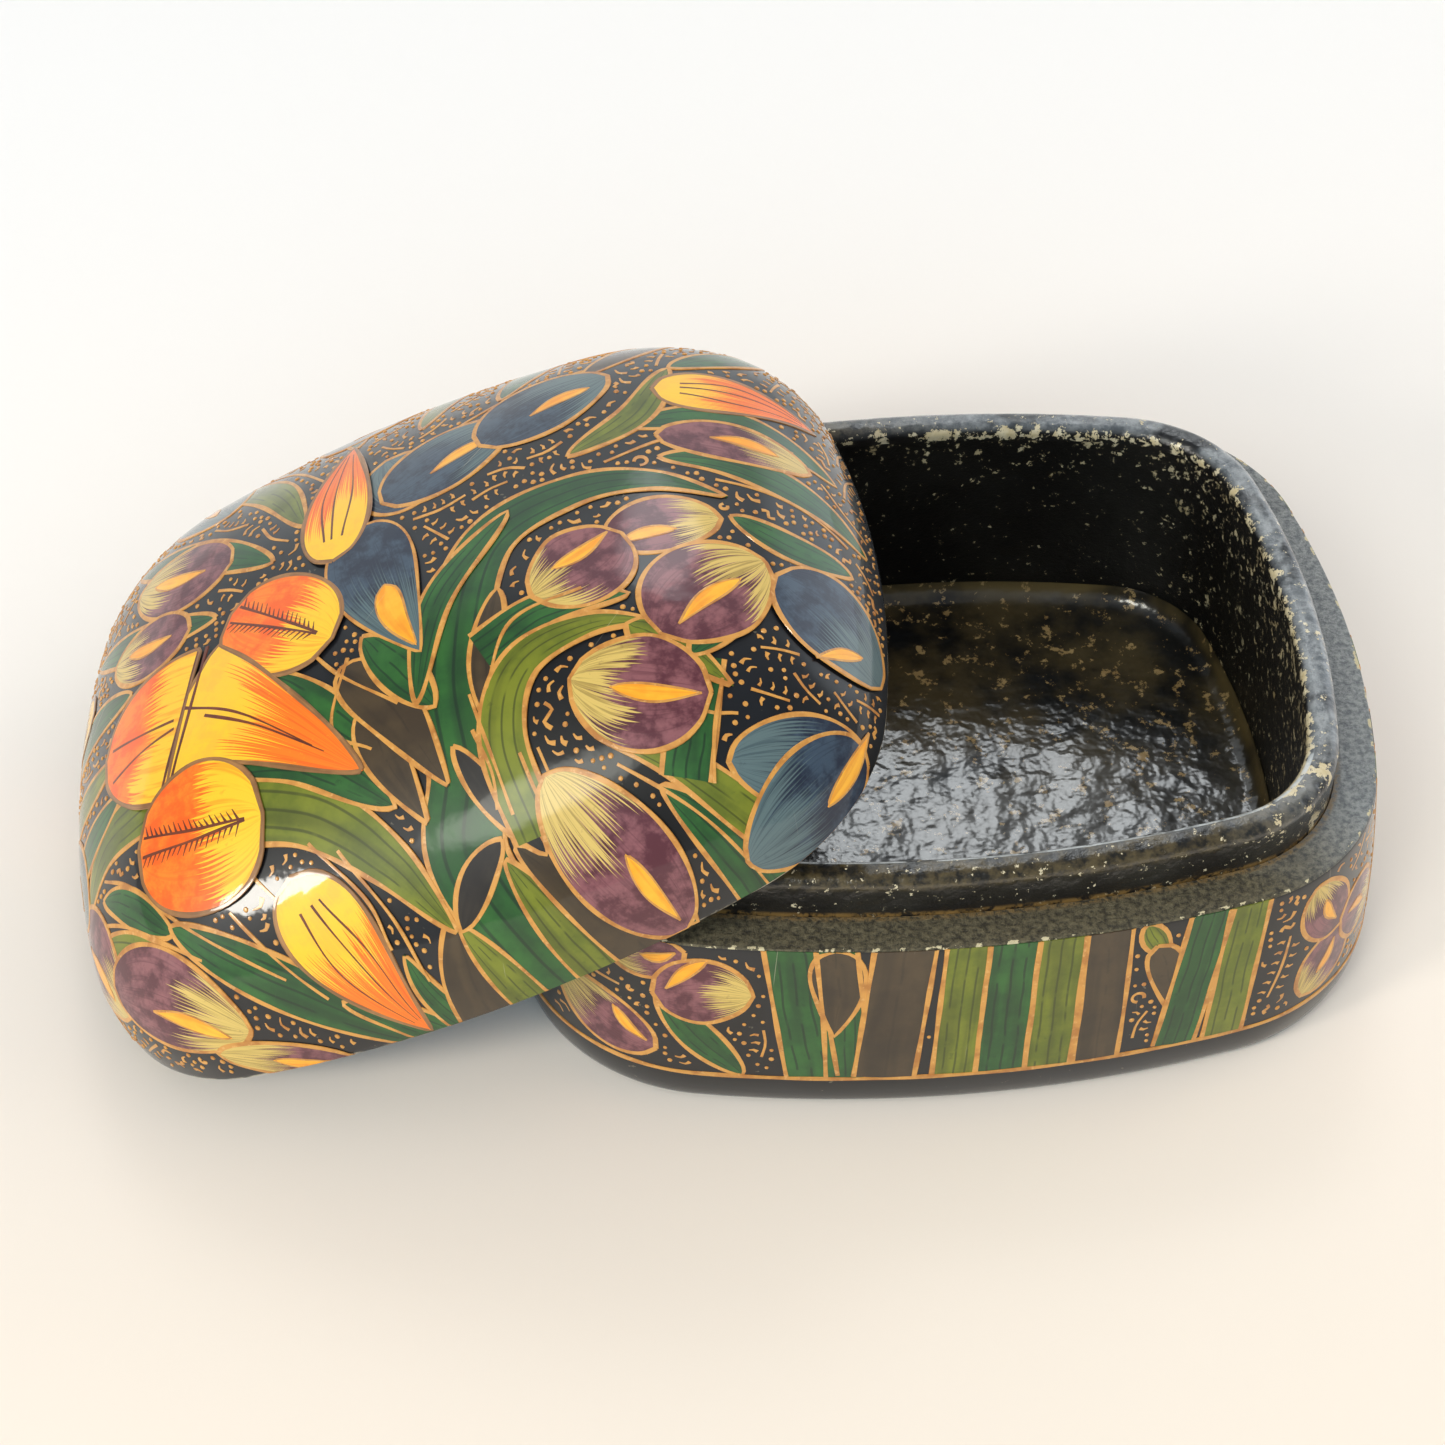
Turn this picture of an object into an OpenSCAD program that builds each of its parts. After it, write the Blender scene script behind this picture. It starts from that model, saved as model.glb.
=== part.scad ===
/* [Overall size] */
// Length of the plan where the lid meets the base
box_len = 100; // [84:1:150]
// Width of the plan where the lid meets the base
box_w = 85.4; // [72:0.2:124]
// Height of the base, from the foot to the sawn ledge
base_h = 25.5; // [20:0.5:34]
// Height of the lid's dome, from its rim to its crown
dome_h = 28.2; // [20:0.2:45]

/* [Plan outline] */
// Corner radius of the plan
corner_r = 22; // [16:0.5:26]
// How far the long sides bow outwards
side_bow = 2.7; // [1:0.1:4.5]
// How far the short ends bow outwards
end_bow = 1.9; // [0.8:0.1:3.5]

/* [Profile] */
// Squareness of the dome: 2 is a plain ellipse, more is puffier
dome_power = 2.25; // [2:0.05:3]
// How far the base swells outwards below its ledge
base_swell = 1.5; // [0.2:0.1:2.4]
// Height of the swell's widest line above the foot
swell_z = 5; // [4:0.5:12]
// How far the foot turns in under the swell
foot_in = 1.5; // [0.5:0.1:3]

/* [Walls and joint] */
// Width of the sawn ledge, which is the wall of the base shell
ledge_w = 5; // [4:0.1:6]
// Thickness of the moulded floor of the base shell
floor_t = 2; // [1.5:0.1:4]
// Thickness of the strip that lines the base and rises as a collar
collar_t = 3.7; // [2.5:0.1:5]
// How far the collar rises above the ledge
collar_rise = 5.6; // [3:0.1:8]
// Radius of the collar's worn outer top edge
collar_edge_r = 1.4; // [0.5:0.1:2.2]
// Thickness of the paper sheet glued on the floor
sheet_t = 1; // [0.6:0.1:2]
// Radius of the sheet's turned-up edge against the lining
sheet_fillet = 2.4; // [1:0.1:4]
// Gap all round between the closed lid and the collar
lid_play = 0.5; // [0.3:0.05:1]

/* [Resting lid] */
// Tilt of the lid as it leans on the base
lean = 24; // [19:0.5:30]
// How far the leaning lid sits towards the back
lid_aside = 0.6; // [0:0.1:2]
// Gap left under the leaning lid where it touches
rest_gap = 0.2; // [0.1:0.05:0.6]

/* [Hidden] */

// Steps along an end, round a corner and along a long side, in a quarter of the plan
end_steps = 3;
corner_steps = 10;
side_steps = 4;
// Rings up the outside and the inside of the dome
dome_rings = 12;
hollow_rings = 8;
// The dome is closed by a small cap at this share of its arc
cap_share = 0.95;
// Rings up the base's outer wall, above and below its widest line
upper_rings = 5;
lower_rings = 5;
// Steps in a small rounding or fillet
fillet_steps = 4;

half_len = box_len / 2;
half_w = box_w / 2;
lid_wall = ledge_w - lid_play;
lining_off = ledge_w;
hollow_off = ledge_w + collar_t;
collar_top = base_h + collar_rise;
sheet_top = floor_t + sheet_t;

// Centre of a corner's arc, and the radii of the bowed sides before rounding
corner_x = half_len - corner_r - end_bow;
corner_y = half_w - corner_r - side_bow;
side_r = (corner_x * corner_x + side_bow * side_bow) / (2 * side_bow);
end_r = (corner_y * corner_y + end_bow * end_bow) / (2 * end_bow);
side_turn = asin(corner_x / side_r);
end_turn = asin(corner_y / end_r);
side_centre_y = half_w - corner_r - side_r;
end_centre_x = half_len - corner_r - end_r;

// A point of the first quarter of the plan, moved in by off along its own normal
function end_point(a, off) =
    let (r = end_r + corner_r - off) [end_centre_x + r * cos(a), r * sin(a)];
function corner_point(a, off) =
    let (r = corner_r - off) [corner_x + r * cos(a), corner_y + r * sin(a)];
function side_point(a, off) =
    let (r = side_r + corner_r - off) [r * cos(a), side_centre_y + r * sin(a)];

// The first quarter of the plan, from the middle of an end to the middle of a side
function quarter(off) = concat(
    [for (i = [0 : end_steps - 1]) end_point(end_turn * i / end_steps, off)],
    [for (i = [0 : corner_steps - 1])
        corner_point(end_turn + (90 - end_turn - side_turn) * i / corner_steps, off)],
    [for (i = [0 : side_steps]) side_point(90 - side_turn * (1 - i / side_steps), off)]);

// The whole plan, anticlockwise, moved in by off all round
function plan(off) =
    let (p = quarter(off), n = len(p))
    concat(
        p,
        [for (i = [n - 2 : -1 : 0]) [-p[i].x, p[i].y]],
        [for (i = [1 : n - 1]) [-p[i].x, -p[i].y]],
        [for (i = [n - 2 : -1 : 1]) [p[i].x, -p[i].y]]);

// One ring of points: the plan moved in by off, scaled by k, at height z
function ring(off, z, k = 1) = [for (p = plan(off)) [p.x * k, p.y * k, z]];

// Side faces between ring number j and ring number k, each of n points
function band(j, k, n) = [for (i = [0 : n - 1])
    let (a = i, b = (i + 1) % n) each [[j * n + a, k * n + b, j * n + b], [j * n + a, k * n + a, k * n + b]]];

// A solid whose skin runs up through the rings, with a flat cap on the first and the last
module loft(rings) {
    n = len(rings[0]);
    last = len(rings) - 1;
    polyhedron(
        points = [for (r = rings) each r],
        faces = concat(
            [[for (i = [0 : n - 1]) i]],
            [for (j = [0 : last - 1]) each band(j, j + 1, n)],
            [[for (i = [n - 1 : -1 : 0]) last * n + i]]));
}

// A hollow solid whose skin runs through the rings and back to the first one
module loop_loft(rings) {
    n = len(rings[0]);
    count = len(rings);
    polyhedron(
        points = [for (r = rings) each r],
        faces = [for (j = [0 : count - 1]) each band(j, (j + 1) % count, n)]);
}

// Dome of the plan moved in by off, h high, as rings from its rim to its cap
function dome(off, h, steps) = [for (i = [0 : steps])
    let (a = 90 * cap_share * i / steps)
    ring(off, h * pow(sin(a), 2 / dome_power), pow(cos(a), 2 / dome_power))];

// Half width of the plan at x, and half length at y, for a plan moved in by off
function half_width_at(x, off) =
    let (r = corner_r - off)
    abs(x) <= corner_x + r * sin(side_turn)
        ? side_centre_y + sqrt(pow(side_r + r, 2) - x * x)
        : corner_y + sqrt(r * r - pow(abs(x) - corner_x, 2));
function half_length_at(y, off) =
    let (r = corner_r - off)
    y >= corner_y + r * cos(side_turn)
        ? sqrt(max(0, pow(side_r + r, 2) - pow(y - side_centre_y, 2)))
        : corner_x + sqrt(r * r - pow(max(0, y - corner_y), 2));

// Where the lid's middle lies when its rim, at height z, meets the base's plan moved in by off
function lid_x_touching(z, off) =
    let (along = z / sin(lean) - half_len, y = half_width_at(along, lid_wall) - lid_aside)
    -half_length_at(y, off) - along * cos(lean);
lid_x = min(lid_x_touching(base_h, 0), lid_x_touching(collar_top, lining_off)) - rest_gap;
lid_z = half_len * sin(lean) + rest_gap;

// Lid: a domed papier-mache shell, leaning with its low end on the table
module lid_shell() {
    color([0.16, 0.24, 0.14])
    translate([lid_x, lid_aside, lid_z])
    rotate([0, -lean, 0])
    difference() {
        loft(dome(0, dome_h, dome_rings));
        loft(dome(lid_wall, dome_h - lid_wall, hollow_rings));
    }
}

// Outer wall of the base: up from the foot, out to the swell and in to the ledge
function foot_ring(i) =
    let (a = 90 * i / lower_rings)
    ring(foot_in * (1 - sin(a)) - base_swell, swell_z * (1 - cos(a)));
function wall_ring(i) =
    let (t = i / upper_rings)
    ring(-base_swell * cos(90 * t), swell_z + (base_h - swell_z) * t);

// Base: a papier-mache tray, sawn off level at the ledge
module base_shell() {
    color([0.10, 0.13, 0.12])
    difference() {
        loft(concat(
            [for (i = [0 : lower_rings]) foot_ring(i)],
            [for (i = [1 : upper_rings]) wall_ring(i)]));
        translate([0, 0, floor_t])
            linear_extrude(base_h) polygon(plan(lining_off));
    }
}

// Collar: a strip glued inside the base, standing above the ledge to hold the lid
module collar_lining() {
    color([0.13, 0.12, 0.10])
    loop_loft(concat(
        [ring(lining_off, floor_t)],
        [for (i = [0 : fillet_steps])
            let (a = 90 * i / fillet_steps)
            ring(lining_off + collar_edge_r * (1 - cos(a)),
                collar_top - collar_edge_r * (1 - sin(a)))],
        [ring(hollow_off, collar_top), ring(hollow_off, floor_t)]));
}

// Floor sheet: paper glued in the bottom, with its edge turned up the lining
module floor_sheet() {
    color([0.20, 0.18, 0.12])
    difference() {
        translate([0, 0, floor_t])
            linear_extrude(sheet_t + sheet_fillet) polygon(plan(hollow_off));
        loft(concat(
            [for (i = [0 : fillet_steps])
                let (a = 90 * i / fillet_steps)
                ring(hollow_off + sheet_fillet * (1 - sin(a)),
                    sheet_top + sheet_fillet * (1 - cos(a)))],
            [ring(hollow_off, sheet_top + sheet_fillet + sheet_t)]));
    }
}

lid_shell();
base_shell();
collar_lining();
floor_sheet();
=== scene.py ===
"""Looks of a painted papier-mache trinket box whose lid leans on its open base."""
import math
import random

import bmesh
import bpy
import numpy as np
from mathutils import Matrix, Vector, noise


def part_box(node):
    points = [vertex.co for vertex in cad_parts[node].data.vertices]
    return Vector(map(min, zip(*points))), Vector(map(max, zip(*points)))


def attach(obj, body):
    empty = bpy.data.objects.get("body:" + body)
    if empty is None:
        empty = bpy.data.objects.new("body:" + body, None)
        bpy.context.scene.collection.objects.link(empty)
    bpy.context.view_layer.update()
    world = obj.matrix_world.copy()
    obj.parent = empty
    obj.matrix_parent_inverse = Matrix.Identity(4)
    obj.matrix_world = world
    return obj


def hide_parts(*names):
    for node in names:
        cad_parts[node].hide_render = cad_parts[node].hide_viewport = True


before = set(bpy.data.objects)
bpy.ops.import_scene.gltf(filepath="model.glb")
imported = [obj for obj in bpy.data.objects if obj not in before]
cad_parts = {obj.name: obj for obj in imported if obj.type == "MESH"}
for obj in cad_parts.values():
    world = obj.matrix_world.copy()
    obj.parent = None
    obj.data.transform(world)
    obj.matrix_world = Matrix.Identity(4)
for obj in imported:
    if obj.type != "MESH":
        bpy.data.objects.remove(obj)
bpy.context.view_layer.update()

# ---------------------------------------------------------------- sizes, in millimetres
MM = 0.001
HALF_LEN, HALF_W = 50.0, 42.7
CORNER_R, SIDE_BOW, END_BOW = 22.0, 2.7, 1.9
BASE_H, DOME_H, DOME_POWER = 25.5, 28.2, 2.25
SWELL, SWELL_Z, FOOT_IN = 1.5, 5.0, 1.5
LEDGE_W, LID_WALL = 5.0, 4.5
COLLAR_T, COLLAR_TOP, COLLAR_EDGE_R = 3.7, 31.1, 1.4
FLOOR_TOP, FLOOR_FILLET = 3.0, 2.4
LEAN = math.radians(24.0)

# Heights on the base of the gold line round its foot and of the paint's upper end
FOOT_LINE, PAINT_TOP = 5.3, BASE_H - 0.28

# Paint lies in thin levels above GROUND, which is sunk so that the top level stays in the CAD
# skin; the lid's own board lies a little deeper still
GROUND = -0.30
GROUND_SUNK = 0.34
LEVEL = 0.025
SHAPE_T = 0.15
LINE_H, LINE_FOOT = 0.015, -0.10
PATCH_STEP, LINE_STEP = 0.85, 0.8
RIM_MARGIN = 0.35
MERGE = 2e-6

SEED = 7


# ---------------------------------------------------------------- the plan and the surfaces
CORNER_X = HALF_LEN - CORNER_R - END_BOW
CORNER_Y = HALF_W - CORNER_R - SIDE_BOW
SIDE_R = (CORNER_X ** 2 + SIDE_BOW ** 2) / (2 * SIDE_BOW)
END_R = (CORNER_Y ** 2 + END_BOW ** 2) / (2 * END_BOW)
SIDE_TURN = math.asin(CORNER_X / SIDE_R)
END_TURN = math.asin(CORNER_Y / END_R)


def plan(angle, off=0.0):
    """Points of the plan, moved in by off, where its outward normal points along angle."""
    c, s = np.cos(angle), np.sin(angle)
    turn = np.arctan2(np.abs(s), np.abs(c))
    nx, ny = np.abs(c), np.abs(s)
    on_end = turn < END_TURN
    on_side = turn > math.pi / 2 - SIDE_TURN
    x = np.where(on_end, HALF_LEN - CORNER_R - END_R + END_R * nx, np.where(on_side, SIDE_R * nx, CORNER_X))
    y = np.where(on_end, END_R * ny, np.where(on_side, HALF_W - CORNER_R - SIDE_R + SIDE_R * ny, CORNER_Y))
    r = CORNER_R - off
    return np.stack([np.sign(c) * (x + r * nx), np.sign(s) * (y + r * ny)], -1)


DENSE = np.radians(np.arange(-90.0, 270.0, 0.05))
DENSE_XY = plan(DENSE)
STEPS = np.hypot(*np.diff(np.vstack([DENSE_XY, DENSE_XY[:1]]), axis=0).T)
ALONG = np.concatenate([[0.0], np.cumsum(STEPS)])
PERIMETER = ALONG[-1]


def normal_angle(along):
    """The plan normal's angle at a distance along the rim, from the middle of the front."""
    return np.interp(np.mod(along, PERIMETER), ALONG, np.append(DENSE, DENSE[0] + 2 * math.pi))


class Dome:
    """The lid's outer skin. Chart: x and y from the crown, true along each line from the crown."""
    T = np.linspace(0.0, 1.0, 161)

    def __init__(self):
        arc = math.pi / 2 * (1 - self.T)
        self.rho = np.clip(np.cos(arc), 0, 1) ** (2 / DOME_POWER)
        self.zeta = np.sin(arc) ** (2 / DOME_POWER)
        self.rho[0] = 0.0
        polar = np.arctan2(DENSE_XY[:, 1], DENSE_XY[:, 0])
        order = np.argsort(polar)
        self.polar, self.radius = polar[order], np.hypot(*DENSE_XY[order].T)
        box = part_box("lid_shell")
        low, high = [np.array(v) / MM for v in box]
        self.origin = np.array([
            high[0] - HALF_LEN * math.cos(LEAN),
            (low[1] + high[1]) / 2,
            low[2] + HALF_LEN * math.sin(LEAN)])
        c, s = math.cos(LEAN), math.sin(LEAN)
        self.turn = np.array([[c, 0, -s], [0, 1, 0], [s, 0, c]])

    def plan_radius(self, a):
        return np.interp(a, self.polar, self.radius, period=2 * math.pi)

    def reach(self, a):
        """Distance from the crown to the rim along a."""
        r0 = np.atleast_1d(self.plan_radius(a))
        dr = r0[:, None] * np.diff(self.rho)
        dz = DOME_H * np.diff(self.zeta)
        return np.hypot(dr, dz[None]).sum(1)

    def to_world(self, p, n, lift):
        p = p + n * np.asarray(lift)[..., None]
        return (p @ self.turn.T + self.origin) * MM, n @ self.turn.T

    def at(self, xy, lift=0.0):
        """World points and normals of chart points."""
        xy = np.asarray(xy, float)
        shape = xy.shape[:-1]
        xy = xy.reshape(-1, 2)
        lift = np.broadcast_to(np.asarray(lift, float), shape).reshape(-1)
        points, normals = [], []
        for i in range(0, len(xy), 4000):
            p, n = self._skin(xy[i:i + 4000])
            points.append(p)
            normals.append(n)
        p, n = self.to_world(np.vstack(points), np.vstack(normals), lift)
        return p.reshape(shape + (3,)), n.reshape(shape + (3,))

    def _skin(self, xy):
        a = np.arctan2(xy[:, 1], xy[:, 0])
        q = np.hypot(xy[:, 0], xy[:, 1])
        r0 = self.plan_radius(a)
        eps = 0.01
        slope = (self.plan_radius(a + eps) - self.plan_radius(a - eps)) / (2 * eps)
        seg = np.hypot(r0[:, None] * np.diff(self.rho), DOME_H * np.diff(self.zeta)[None])
        s = np.hstack([np.zeros((len(q), 1)), np.cumsum(seg, 1)])
        q = np.minimum(q, s[:, -1] - RIM_MARGIN)
        k = np.clip((s <= q[:, None]).sum(1) - 1, 0, len(self.T) - 2)
        rows = np.arange(len(q))
        f = (q - s[rows, k]) / np.maximum(s[rows, k + 1] - s[rows, k], 1e-9)
        rho = self.rho[k] + f * (self.rho[k + 1] - self.rho[k])
        zeta = self.zeta[k] + f * (self.zeta[k + 1] - self.zeta[k])
        drho = np.gradient(self.rho)
        dzeta = np.gradient(self.zeta)
        drho = drho[k] + f * (drho[k + 1] - drho[k])
        dzeta = dzeta[k] + f * (dzeta[k + 1] - dzeta[k])
        ca, sa = np.cos(a), np.sin(a)
        p = np.stack([r0 * rho * ca, r0 * rho * sa, DOME_H * zeta], 1)
        down = np.stack([r0 * drho * ca, r0 * drho * sa, DOME_H * dzeta], 1)
        around = np.stack([slope * ca - r0 * sa, slope * sa + r0 * ca, 0 * ca], 1)
        n = np.cross(down, around)
        n /= np.maximum(np.linalg.norm(n, axis=1, keepdims=True), 1e-12)
        n[q < 0.6] = (0, 0, 1)
        return p, n


class Wall:
    """The base's outer wall. Chart: x along the rim from the middle of the front, y is height."""

    def offset(self, z):
        """How far the wall lies in from the plan at height z; below 0 it swells out."""
        up = -SWELL * np.cos(math.pi / 2 * (z - SWELL_Z) / (BASE_H - SWELL_Z))
        low = FOOT_IN * (1 - np.sqrt(np.clip(1 - (1 - z / SWELL_Z) ** 2, 0, 1))) - SWELL
        return np.where(z >= SWELL_Z, up, low)

    def at(self, xy, lift=0.0):
        """World points and normals of chart points."""
        xy = np.asarray(xy, float)
        z = np.clip(xy[..., 1], 0.05, PAINT_TOP)
        angle = normal_angle(xy[..., 0])
        off = self.offset(z)
        slope = (self.offset(z + 0.05) - self.offset(z - 0.05)) / 0.1
        flat = plan(angle)
        out = np.stack([np.cos(angle), np.sin(angle)], -1)
        n = np.concatenate([out, slope[..., None]], -1)
        n /= np.linalg.norm(n, axis=-1, keepdims=True)
        p = np.concatenate([flat - off[..., None] * out, z[..., None]], -1)
        return (p + n * np.asarray(lift)[..., None]) * MM, n


# ---------------------------------------------------------------- mesh helpers
class Pile:
    """Vertices, faces and UVs gathered for one piece."""

    def __init__(self):
        self.verts, self.faces, self.uvs, self.count = [], [], [], 0

    def add(self, verts, faces, uvs):
        self.verts.append(verts)
        self.uvs.append(uvs)
        self.faces.extend([tuple(i + self.count for i in f) for f in faces])
        self.count += len(verts)

    def cap(self, first, count, tip, flip, slots, slot):
        """Closes the ring of count points from first with a fan about a tip."""
        start = self.count
        self.verts.append(tip)
        self.uvs.append(np.zeros((1, 2)))
        self.count += 1
        for j in range(count):
            face = (start, first + j, first + (j + 1) % count)
            self.faces.append(face[::-1] if flip else face)
            slots.append(slot)

    def build(self, name, materials, sharp, face_slots=None):
        mesh = bpy.data.meshes.new(name)
        mesh.from_pydata(np.vstack(self.verts).tolist(), [], self.faces)
        uv = np.vstack(self.uvs)
        layer = mesh.uv_layers.new(name="UVMap")
        index = np.zeros(len(mesh.loops), dtype=np.int32)
        mesh.loops.foreach_get("vertex_index", index)
        layer.data.foreach_set("uv", uv[index].astype(np.float32).ravel())
        for m in materials:
            mesh.materials.append(m)
        if face_slots is not None:
            mesh.polygons.foreach_set("material_index", np.asarray(face_slots, dtype=np.int32))
        mesh.validate(verbose=False)
        clean(mesh)
        mesh.shade_smooth()
        mesh.set_sharp_from_angle(angle=math.radians(sharp))
        piece = bpy.data.objects.new(name, mesh)
        bpy.context.scene.collection.objects.link(piece)
        return piece


def clean(mesh):
    """Merges points that fell together and drops the faces that vanish."""
    bm = bmesh.new()
    bm.from_mesh(mesh)
    bmesh.ops.remove_doubles(bm, verts=bm.verts, dist=MERGE)
    bmesh.ops.dissolve_degenerate(bm, edges=bm.edges, dist=MERGE / 2)
    bm.to_mesh(mesh)
    bm.free()


def grid_faces(rows, cols, flip):
    faces = []
    for a in (i * cols + j for i in range(rows - 1) for j in range(cols - 1)):
        quad = (a, a + 1, a + 1 + cols, a + cols)
        faces.append(quad[::-1] if flip else quad)
    return faces


def smooth_path(points, step):
    """A smooth curve through the points, sampled about every step."""
    p = np.asarray(points, float)
    if len(p) == 2:
        n = max(2, int(np.linalg.norm(p[1] - p[0]) / step) + 1)
        return p[0] + np.linspace(0, 1, n)[:, None] * (p[1] - p[0])
    ends = [2 * p[0] - p[1], *p, 2 * p[-1] - p[-2]]
    out = []
    for a, b, c, d in zip(ends, ends[1:], ends[2:], ends[3:]):
        n = max(2, int(np.linalg.norm(c - b) / step) + 1)
        t = np.linspace(0, 1, n, endpoint=False)[:, None]
        out.append(0.5 * (2 * b + (c - a) * t + (2 * a - 5 * b + 4 * c - d) * t ** 2
                          + (3 * b - a - 3 * c + d) * t ** 3))
    return np.vstack(out + [p[-1:]])


def sides(path):
    """Unit normals to a flat path, to its left."""
    d = np.gradient(path, axis=0)
    d /= np.maximum(np.linalg.norm(d, axis=1, keepdims=True), 1e-9)
    return np.stack([-d[:, 1], d[:, 0]], 1)


# Half width of a brush shape along its spine, from 0 at its start to 1 at its tip
PROFILES = {
    "blade": lambda t: np.sin(math.pi * t) ** 0.6,
    "spear": lambda t: (1 - t ** 2.6) ** 0.8,
    "band": lambda t: np.ones_like(t),
    "round": lambda t: np.sqrt(np.clip(1 - (2 * t - 1) ** 2, 0, 1)) ** 0.9,
    "bud": lambda t: np.sin(math.pi * t ** 0.85) ** 0.8,
    "drop": lambda t: np.sin(math.pi * t ** 0.6) ** 0.85,
    "trumpet": lambda t: np.clip(t * 14, 0, 1) * (1 - t) ** 0.8 * (1 - 0.15 * np.sin(math.pi * t)),
    "petal": lambda t: np.sin(math.pi * t ** 0.92) ** 0.55,
    "dee": lambda t: np.sqrt(np.clip(1 - (1 - t) ** 2.2, 0, 1)),
    "flame": lambda t: np.sin(math.pi * t ** 1.25) ** 0.8,
}


class Painting:
    """Brush shapes and gold lines on one surface, piled up in thin levels."""
    CELL = 0.5

    def __init__(self, surface, x_range, y_range, seed):
        self.surface = surface
        self.low = np.array([x_range[0], y_range[0]], float)
        cells = ((np.array([x_range[1], y_range[1]]) - self.low) / self.CELL).astype(int) + 1
        self.top = np.full(cells, -1)
        self.piles = {}
        self.random = random.Random(seed)
        self.shapes = 0

    def pile(self, kind):
        return self.piles.setdefault(kind, Pile())

    def cells(self, xy):
        ij = ((np.asarray(xy).reshape(-1, 2) - self.low) / self.CELL).round().astype(int)
        keep = ((ij >= 0) & (ij < self.top.shape)).all(1)
        return ij[keep]

    def highest(self, xy):
        """The highest level painted so far under some points, -1 for bare ground."""
        ij = self.cells(xy)
        return int(self.top[ij[:, 0], ij[:, 1]].max()) if len(ij) else -1

    def cover(self, xy, level):
        ij = self.cells(xy)
        self.top[ij[:, 0], ij[:, 1]] = np.maximum(self.top[ij[:, 0], ij[:, 1]], level)

    def shape(self, kind, width, profile, spine, line=0.62, line_kind="gold"):
        """A filled brush shape along a spine, with a gold outline."""
        path = smooth_path(spine, PATCH_STEP)
        length = np.concatenate([[0], np.cumsum(np.linalg.norm(np.diff(path, axis=0), axis=1))])
        t = length / length[-1]
        half = PROFILES[profile](t) * width / 2
        across = max(5, int(width / PATCH_STEP) + 2)
        v = np.linspace(-1, 1, across)
        side = sides(path)[:, None]
        xy = path[:, None] + side * (half[:, None] * v)[..., None]
        level = self.highest(xy) + 1
        fine = path[:, None] + side * (half[:, None] * np.linspace(-1, 1, 4 * across))[..., None]
        between = (fine[1:] + fine[:-1]) / 2
        self.cover(np.vstack([fine.reshape(-1, 2), between.reshape(-1, 2)]), level)
        self.shapes += 1
        lift = GROUND + LEVEL * (level + 1)
        self.solid(kind, xy, lift, t, v)
        if line:
            left, right = xy[:, 0], xy[::-1, -1]
            if profile == "band":
                self.stroke(left, line, line_kind, level=level + 1)
                self.stroke(right, line, line_kind, level=level + 1)
            else:
                rim = np.vstack([left, right] if profile == "spear" else [left, right, left[:1]])
                self.stroke(rim, line, line_kind, level=level)

    def solid(self, kind, xy, lift, t, v):
        """A thin closed slab under a grid of chart points; t runs along it and v across."""
        rows, cols = xy.shape[:2]
        top, n = self.surface.at(xy, np.full(xy.shape[:2], lift))
        under = top - n * SHAPE_T * MM
        along = t[:, None] * 0.98 + self.shapes
        uv = np.stack(np.broadcast_arrays(along, (v[None] + 1) / 2), -1).reshape(-1, 2)
        size = rows * cols
        flip = self.flip(top, n)
        faces = grid_faces(rows, cols, flip)
        faces += [tuple(i + size for i in f[::-1]) for f in faces]
        ring = list(range(cols)) + [i * cols + cols - 1 for i in range(1, rows)]
        ring += [(rows - 1) * cols + j for j in range(cols - 2, -1, -1)]
        ring += [i * cols for i in range(rows - 2, 0, -1)]
        for a, b in zip(ring, ring[1:] + ring[:1]):
            quad = (a, a + size, b + size, b)
            faces.append(quad[::-1] if flip else quad)
        verts = np.vstack([top.reshape(-1, 3), under.reshape(-1, 3)])
        self.pile(kind).add(verts, faces, np.vstack([uv, uv]))

    @staticmethod
    def flip(p, n):
        """Whether a grid's faces, as grid_faces winds them, look against its normals."""
        r, c = min(p.shape[0] // 2, p.shape[0] - 2), min(p.shape[1] // 2, p.shape[1] - 2)
        face = np.cross(p[r, c + 1] - p[r, c], p[r + 1, c] - p[r, c])
        return bool(face @ n[r, c] < 0)

    def stroke(self, points, width, kind="gold", level=None, taper=False, smooth=False):
        """A brushed line: a low rounded ridge along a path."""
        path = smooth_path(points, LINE_STEP) if smooth else resample(points, LINE_STEP)
        if len(path) < 2:
            return
        if level is None:
            level = self.highest(path)
        n = len(path)
        wide = np.full(n, width / 2)
        wide *= 1 + 0.16 * np.sin(np.linspace(0, n * 0.45, n) + self.random.random() * 6)
        if taper:
            wide *= np.linspace(1.25, 0.35, n)
        side = sides(path)
        lift = GROUND + LEVEL * (level + 1)
        brow = LINE_H * 0.55
        section = [(-1.0, LINE_FOOT), (-0.8, brow), (0.0, LINE_H), (0.8, brow), (1.0, LINE_FOOT)]
        rows = []
        for x, h in section:
            p, _ = self.surface.at(path + side * (wide * x)[:, None], np.full(n, lift + h))
            rows.append(p)
        verts = np.stack(rows, 1).reshape(-1, 3)
        k = len(section)
        faces = []
        for i in range(n - 1):
            for j in range(k):
                a, b = i * k + j, i * k + (j + 1) % k
                faces.append((a, a + k, b + k, b))
        faces += [tuple(range(k)), tuple((n - 1) * k + j for j in range(k - 1, -1, -1))]
        uv = np.stack(np.broadcast_arrays(np.linspace(0, n * LINE_STEP / 10, n)[:, None],
                                          np.linspace(0, 1, k)[None]), -1).reshape(-1, 2)
        self.pile(kind).add(verts, faces, uv)
        self.cover(path, 0)

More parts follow.
